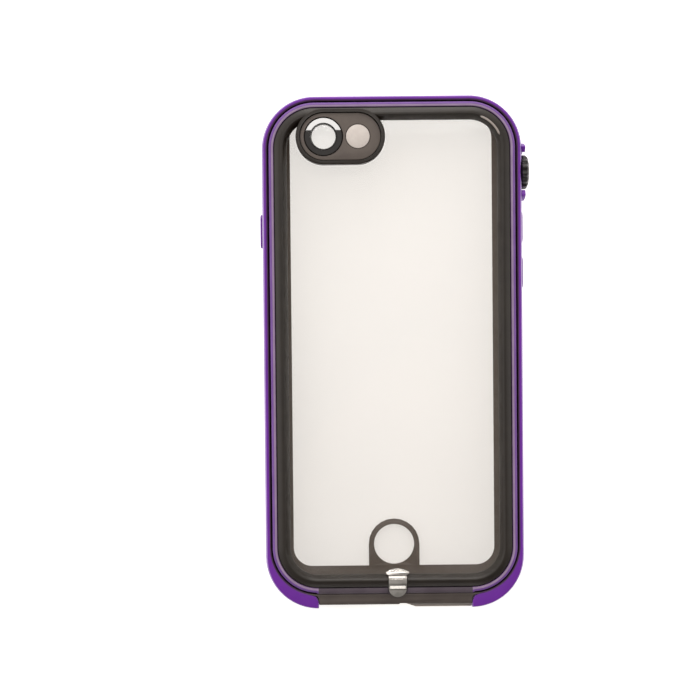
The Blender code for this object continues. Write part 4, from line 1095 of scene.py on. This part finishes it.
LENS_RADIUS = 5.5 * MM
LENS_BORE = 3.45 * MM
FLASH_RADIUS = 3.4 * MM
RING_CHAMFER = 0.2 * MM
RING_SLOPE = 0.5 * MM
PLATE_EASE = 0.15 * MM
plate = along_z("camera_face", camera_shape(0.0), plate_low.z, plate_high.z)
round_edges(plate, PLATE_EASE, segments=3)
lens_glass_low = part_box("lens_window")[0].z
cuts = (
    ("lens_through", lens_middle, LENS_BORE + PLATE_FIT, plate_low.z - GAP),
    ("lens_seat", lens_middle, LENS_RADIUS + PLATE_FIT, lens_glass_low - PLATE_FIT),
    ("flash_through", flash_middle, FLASH_RADIUS - 2 * GAP, plate_low.z - GAP),
    ("flash_seat", flash_middle, FLASH_RADIUS + PLATE_FIT, flash_low.z - PLATE_FIT),
)
for name, middle, radius, low_z in cuts:
    cutter = along_z(name, ring_points(middle, radius, HOLE_STEPS), low_z, plate_high.z + GAP)
    combine(plate, cutter, "DIFFERENCE")
settle(plate, plate_grey)
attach(plate, "back_cover")
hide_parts("camera_plate")

ring_section = [
    (LENS_RADIUS, lens_low.z),
    (LENS_RADIUS, lens_high.z - RING_CHAMFER),
    (LENS_RADIUS - RING_CHAMFER, lens_high.z),
    (LENS_BORE + RING_SLOPE, lens_high.z),
    (LENS_BORE, lens_low.z + RING_CHAMFER),
    (LENS_BORE, lens_low.z),
]
ring_loops = []
for radius, z in ring_section:
    ring_loops.append([(x, y, z) for x, y in ring_points(lens_middle, radius)])
lens_bezel = settle(build_mesh("lens_bezel", ring_loops, closed=True), ring_black)
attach(lens_bezel, "back_cover")
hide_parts("lens_ring")

FLASH_EASE = 0.12 * MM
FLASH_EDGE = FLASH_EASE * 0.3
flash_loops = []
for radius, z in (
    (FLASH_RADIUS, flash_low.z),
    (FLASH_RADIUS, flash_high.z - FLASH_EASE),
    (FLASH_RADIUS - FLASH_EDGE, flash_high.z - FLASH_EDGE),
    (FLASH_RADIUS - FLASH_EASE, flash_high.z),
):
    flash_loops.append([(x, y, z) for x, y in ring_points(flash_middle, radius, HOLE_STEPS)])
flash_disc = settle(build_mesh("flash_disc", flash_loops), frosted)
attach(flash_disc, "back_cover")
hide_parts("flash_window")
recoat("lens_window", lens_glass)

# Steel strip
# A strip of bright stainless steel, blanked, bent over the ridge and barrel polished. Its wide
# head rests on the clear panel, and its round end hangs over the bottom edge.
steel = finish(
    "polished stainless steel",
    ("#C9C5C0", "#D6D2CD"),
    1.2 * MM,
    (0.08, 0.16),
    0.2 * MM,
    0.0003 * MM,
    Metallic=1.0,
)
STRIP_THICKNESS = 0.6 * MM
# Where the bends lie: past the ridge's inner edge, past its crown, and either side of its foot.
BEND_INSIDE = 0.47 * MM
BEND_CROWN = 0.7 * MM
BEND_FOOT = 0.86 * MM
BEND_OUTSIDE = 0.64 * MM
HEAD_LENGTH = 1.35 * MM
HEAD_SAG = 0.95 * MM
HEAD_TAPER = 0.1 * MM
HEAD_SLOPE = 0.25 * MM
BEND = 0.5 * MM
BEND_STEPS = 6
STRIP_EASE = 0.1 * MM
END_STEPS = 20
hang = lip_high.z - LIP_CUT + FIT
strip_path = [
    (strip_high.y, strip_low.z + STRIP_THICKNESS / 2),
    (cavity_low - RIDGE_INNER + BEND_INSIDE, strip_low.z + STRIP_THICKNESS / 2),
    (cavity_low - RIDGE_CROWN + BEND_CROWN, strip_high.z - STRIP_THICKNESS / 2),
    (cavity_low - RIDGE_START + BEND_FOOT, strip_high.z - STRIP_THICKNESS / 2),
    (cavity_low - RIDGE_START - BEND_OUTSIDE, hang + STRIP_THICKNESS / 2),
    (strip_low.y, hang + STRIP_THICKNESS / 2),
]
# The sheet's middle line has eased bends, and its two faces lie half a thickness off it.
middle_line = eased(strip_path, BEND, BEND_STEPS)[BEND_STEPS + 1 : -(BEND_STEPS + 1)]
middle_line = [strip_path[0], *middle_line, strip_path[-1]]
above, under = [], []
for index, (y, z) in enumerate(middle_line):
    ahead = Vector(middle_line[min(index + 1, len(middle_line) - 1)])
    along = (ahead - Vector(middle_line[max(index - 1, 0)])).normalized() * STRIP_THICKNESS / 2
    above.append((y + along.y, z - along.x))
    under.append((y - along.y, z + along.x))
strip_half = STRIP_WIDTH / 2
head_half = strip_high.x - strip_x
strip = along_x("strip_body", under + above[::-1], strip_x - head_half, strip_x + head_half)
# The flat blank: the arched head, the two shoulders under it and the round end.
head_low = strip_high.y - HEAD_LENGTH
blank = []
for step in range(END_STEPS + 1):
    share = 1 - 2 * step / END_STEPS
    blank.append((strip_x + head_half * share, strip_high.y - HEAD_SAG * share**2))
blank.append((strip_x - head_half + HEAD_TAPER, head_low))
blank.append((strip_x - strip_half, head_low - HEAD_SLOPE))
for step in range(END_STEPS + 1):
    angle = math.pi * (1 + step / END_STEPS)
    end_x = strip_x + strip_half * math.cos(angle)
    blank.append((end_x, strip_low.y + strip_half * (1 + math.sin(angle))))
blank.append((strip_x + strip_half, head_low - HEAD_SLOPE))
blank.append((strip_x + head_half - HEAD_TAPER, head_low))
combine(strip, along_z("strip_blank", blank, strip_low.z - GAP, strip_high.z + GAP), "INTERSECT")
round_edges(strip, STRIP_EASE, segments=2, sharp=math.radians(60))
strip_shell = settle(strip, steel)
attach(strip_shell, "back_cover")
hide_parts("lanyard_strip")

# Seals and hidden parts
# The rings of black silicone round every stem, the shaft and the seam are compression moulded and
# dull. The clips, the shaft and the hinge pin are drawn steel wire, and the cam is acetal.
silicone = finish(
    "black silicone", ("#1A1A1A", "#202020"), 3 * MM, (0.6, 0.75), 0.3 * MM, 0.003 * MM, IOR=1.41
)
drawn_steel = finish(
    "drawn steel",
    ("#B5B2AD", "#C2BFBA"),
    1.5 * MM,
    (0.22, 0.35),
    0.2 * MM,
    0.0005 * MM,
    Metallic=1.0,
)
# Expanded PTFE, a white skin like felt: its fibres are drawn coarser than they are, so that they
# show.
sound_skin = finish(
    "expanded PTFE", ("#D9D8D5", "#E4E3E0"), 0.8 * MM, (0.75, 0.9), 0.25 * MM, 0.01 * MM, IOR=1.35
)
HIDDEN = {
    silicone: (
        "main_gasket",
        "power_button_seal",
        "volume_up_button_seal",
        "volume_down_button_seal",
        "dial_seal",
        "port_gasket",
    ),
    drawn_steel: (
        "power_button_clip",
        "volume_up_button_clip",
        "volume_down_button_clip",
        "dial_shaft",
        "port_hinge_pin",
    ),
    dial_black: ("dial_cam",),
    sound_skin: ("speaker_membrane",),
}
for material, names in HIDDEN.items():
    for name in names:
        recoat(name, material)
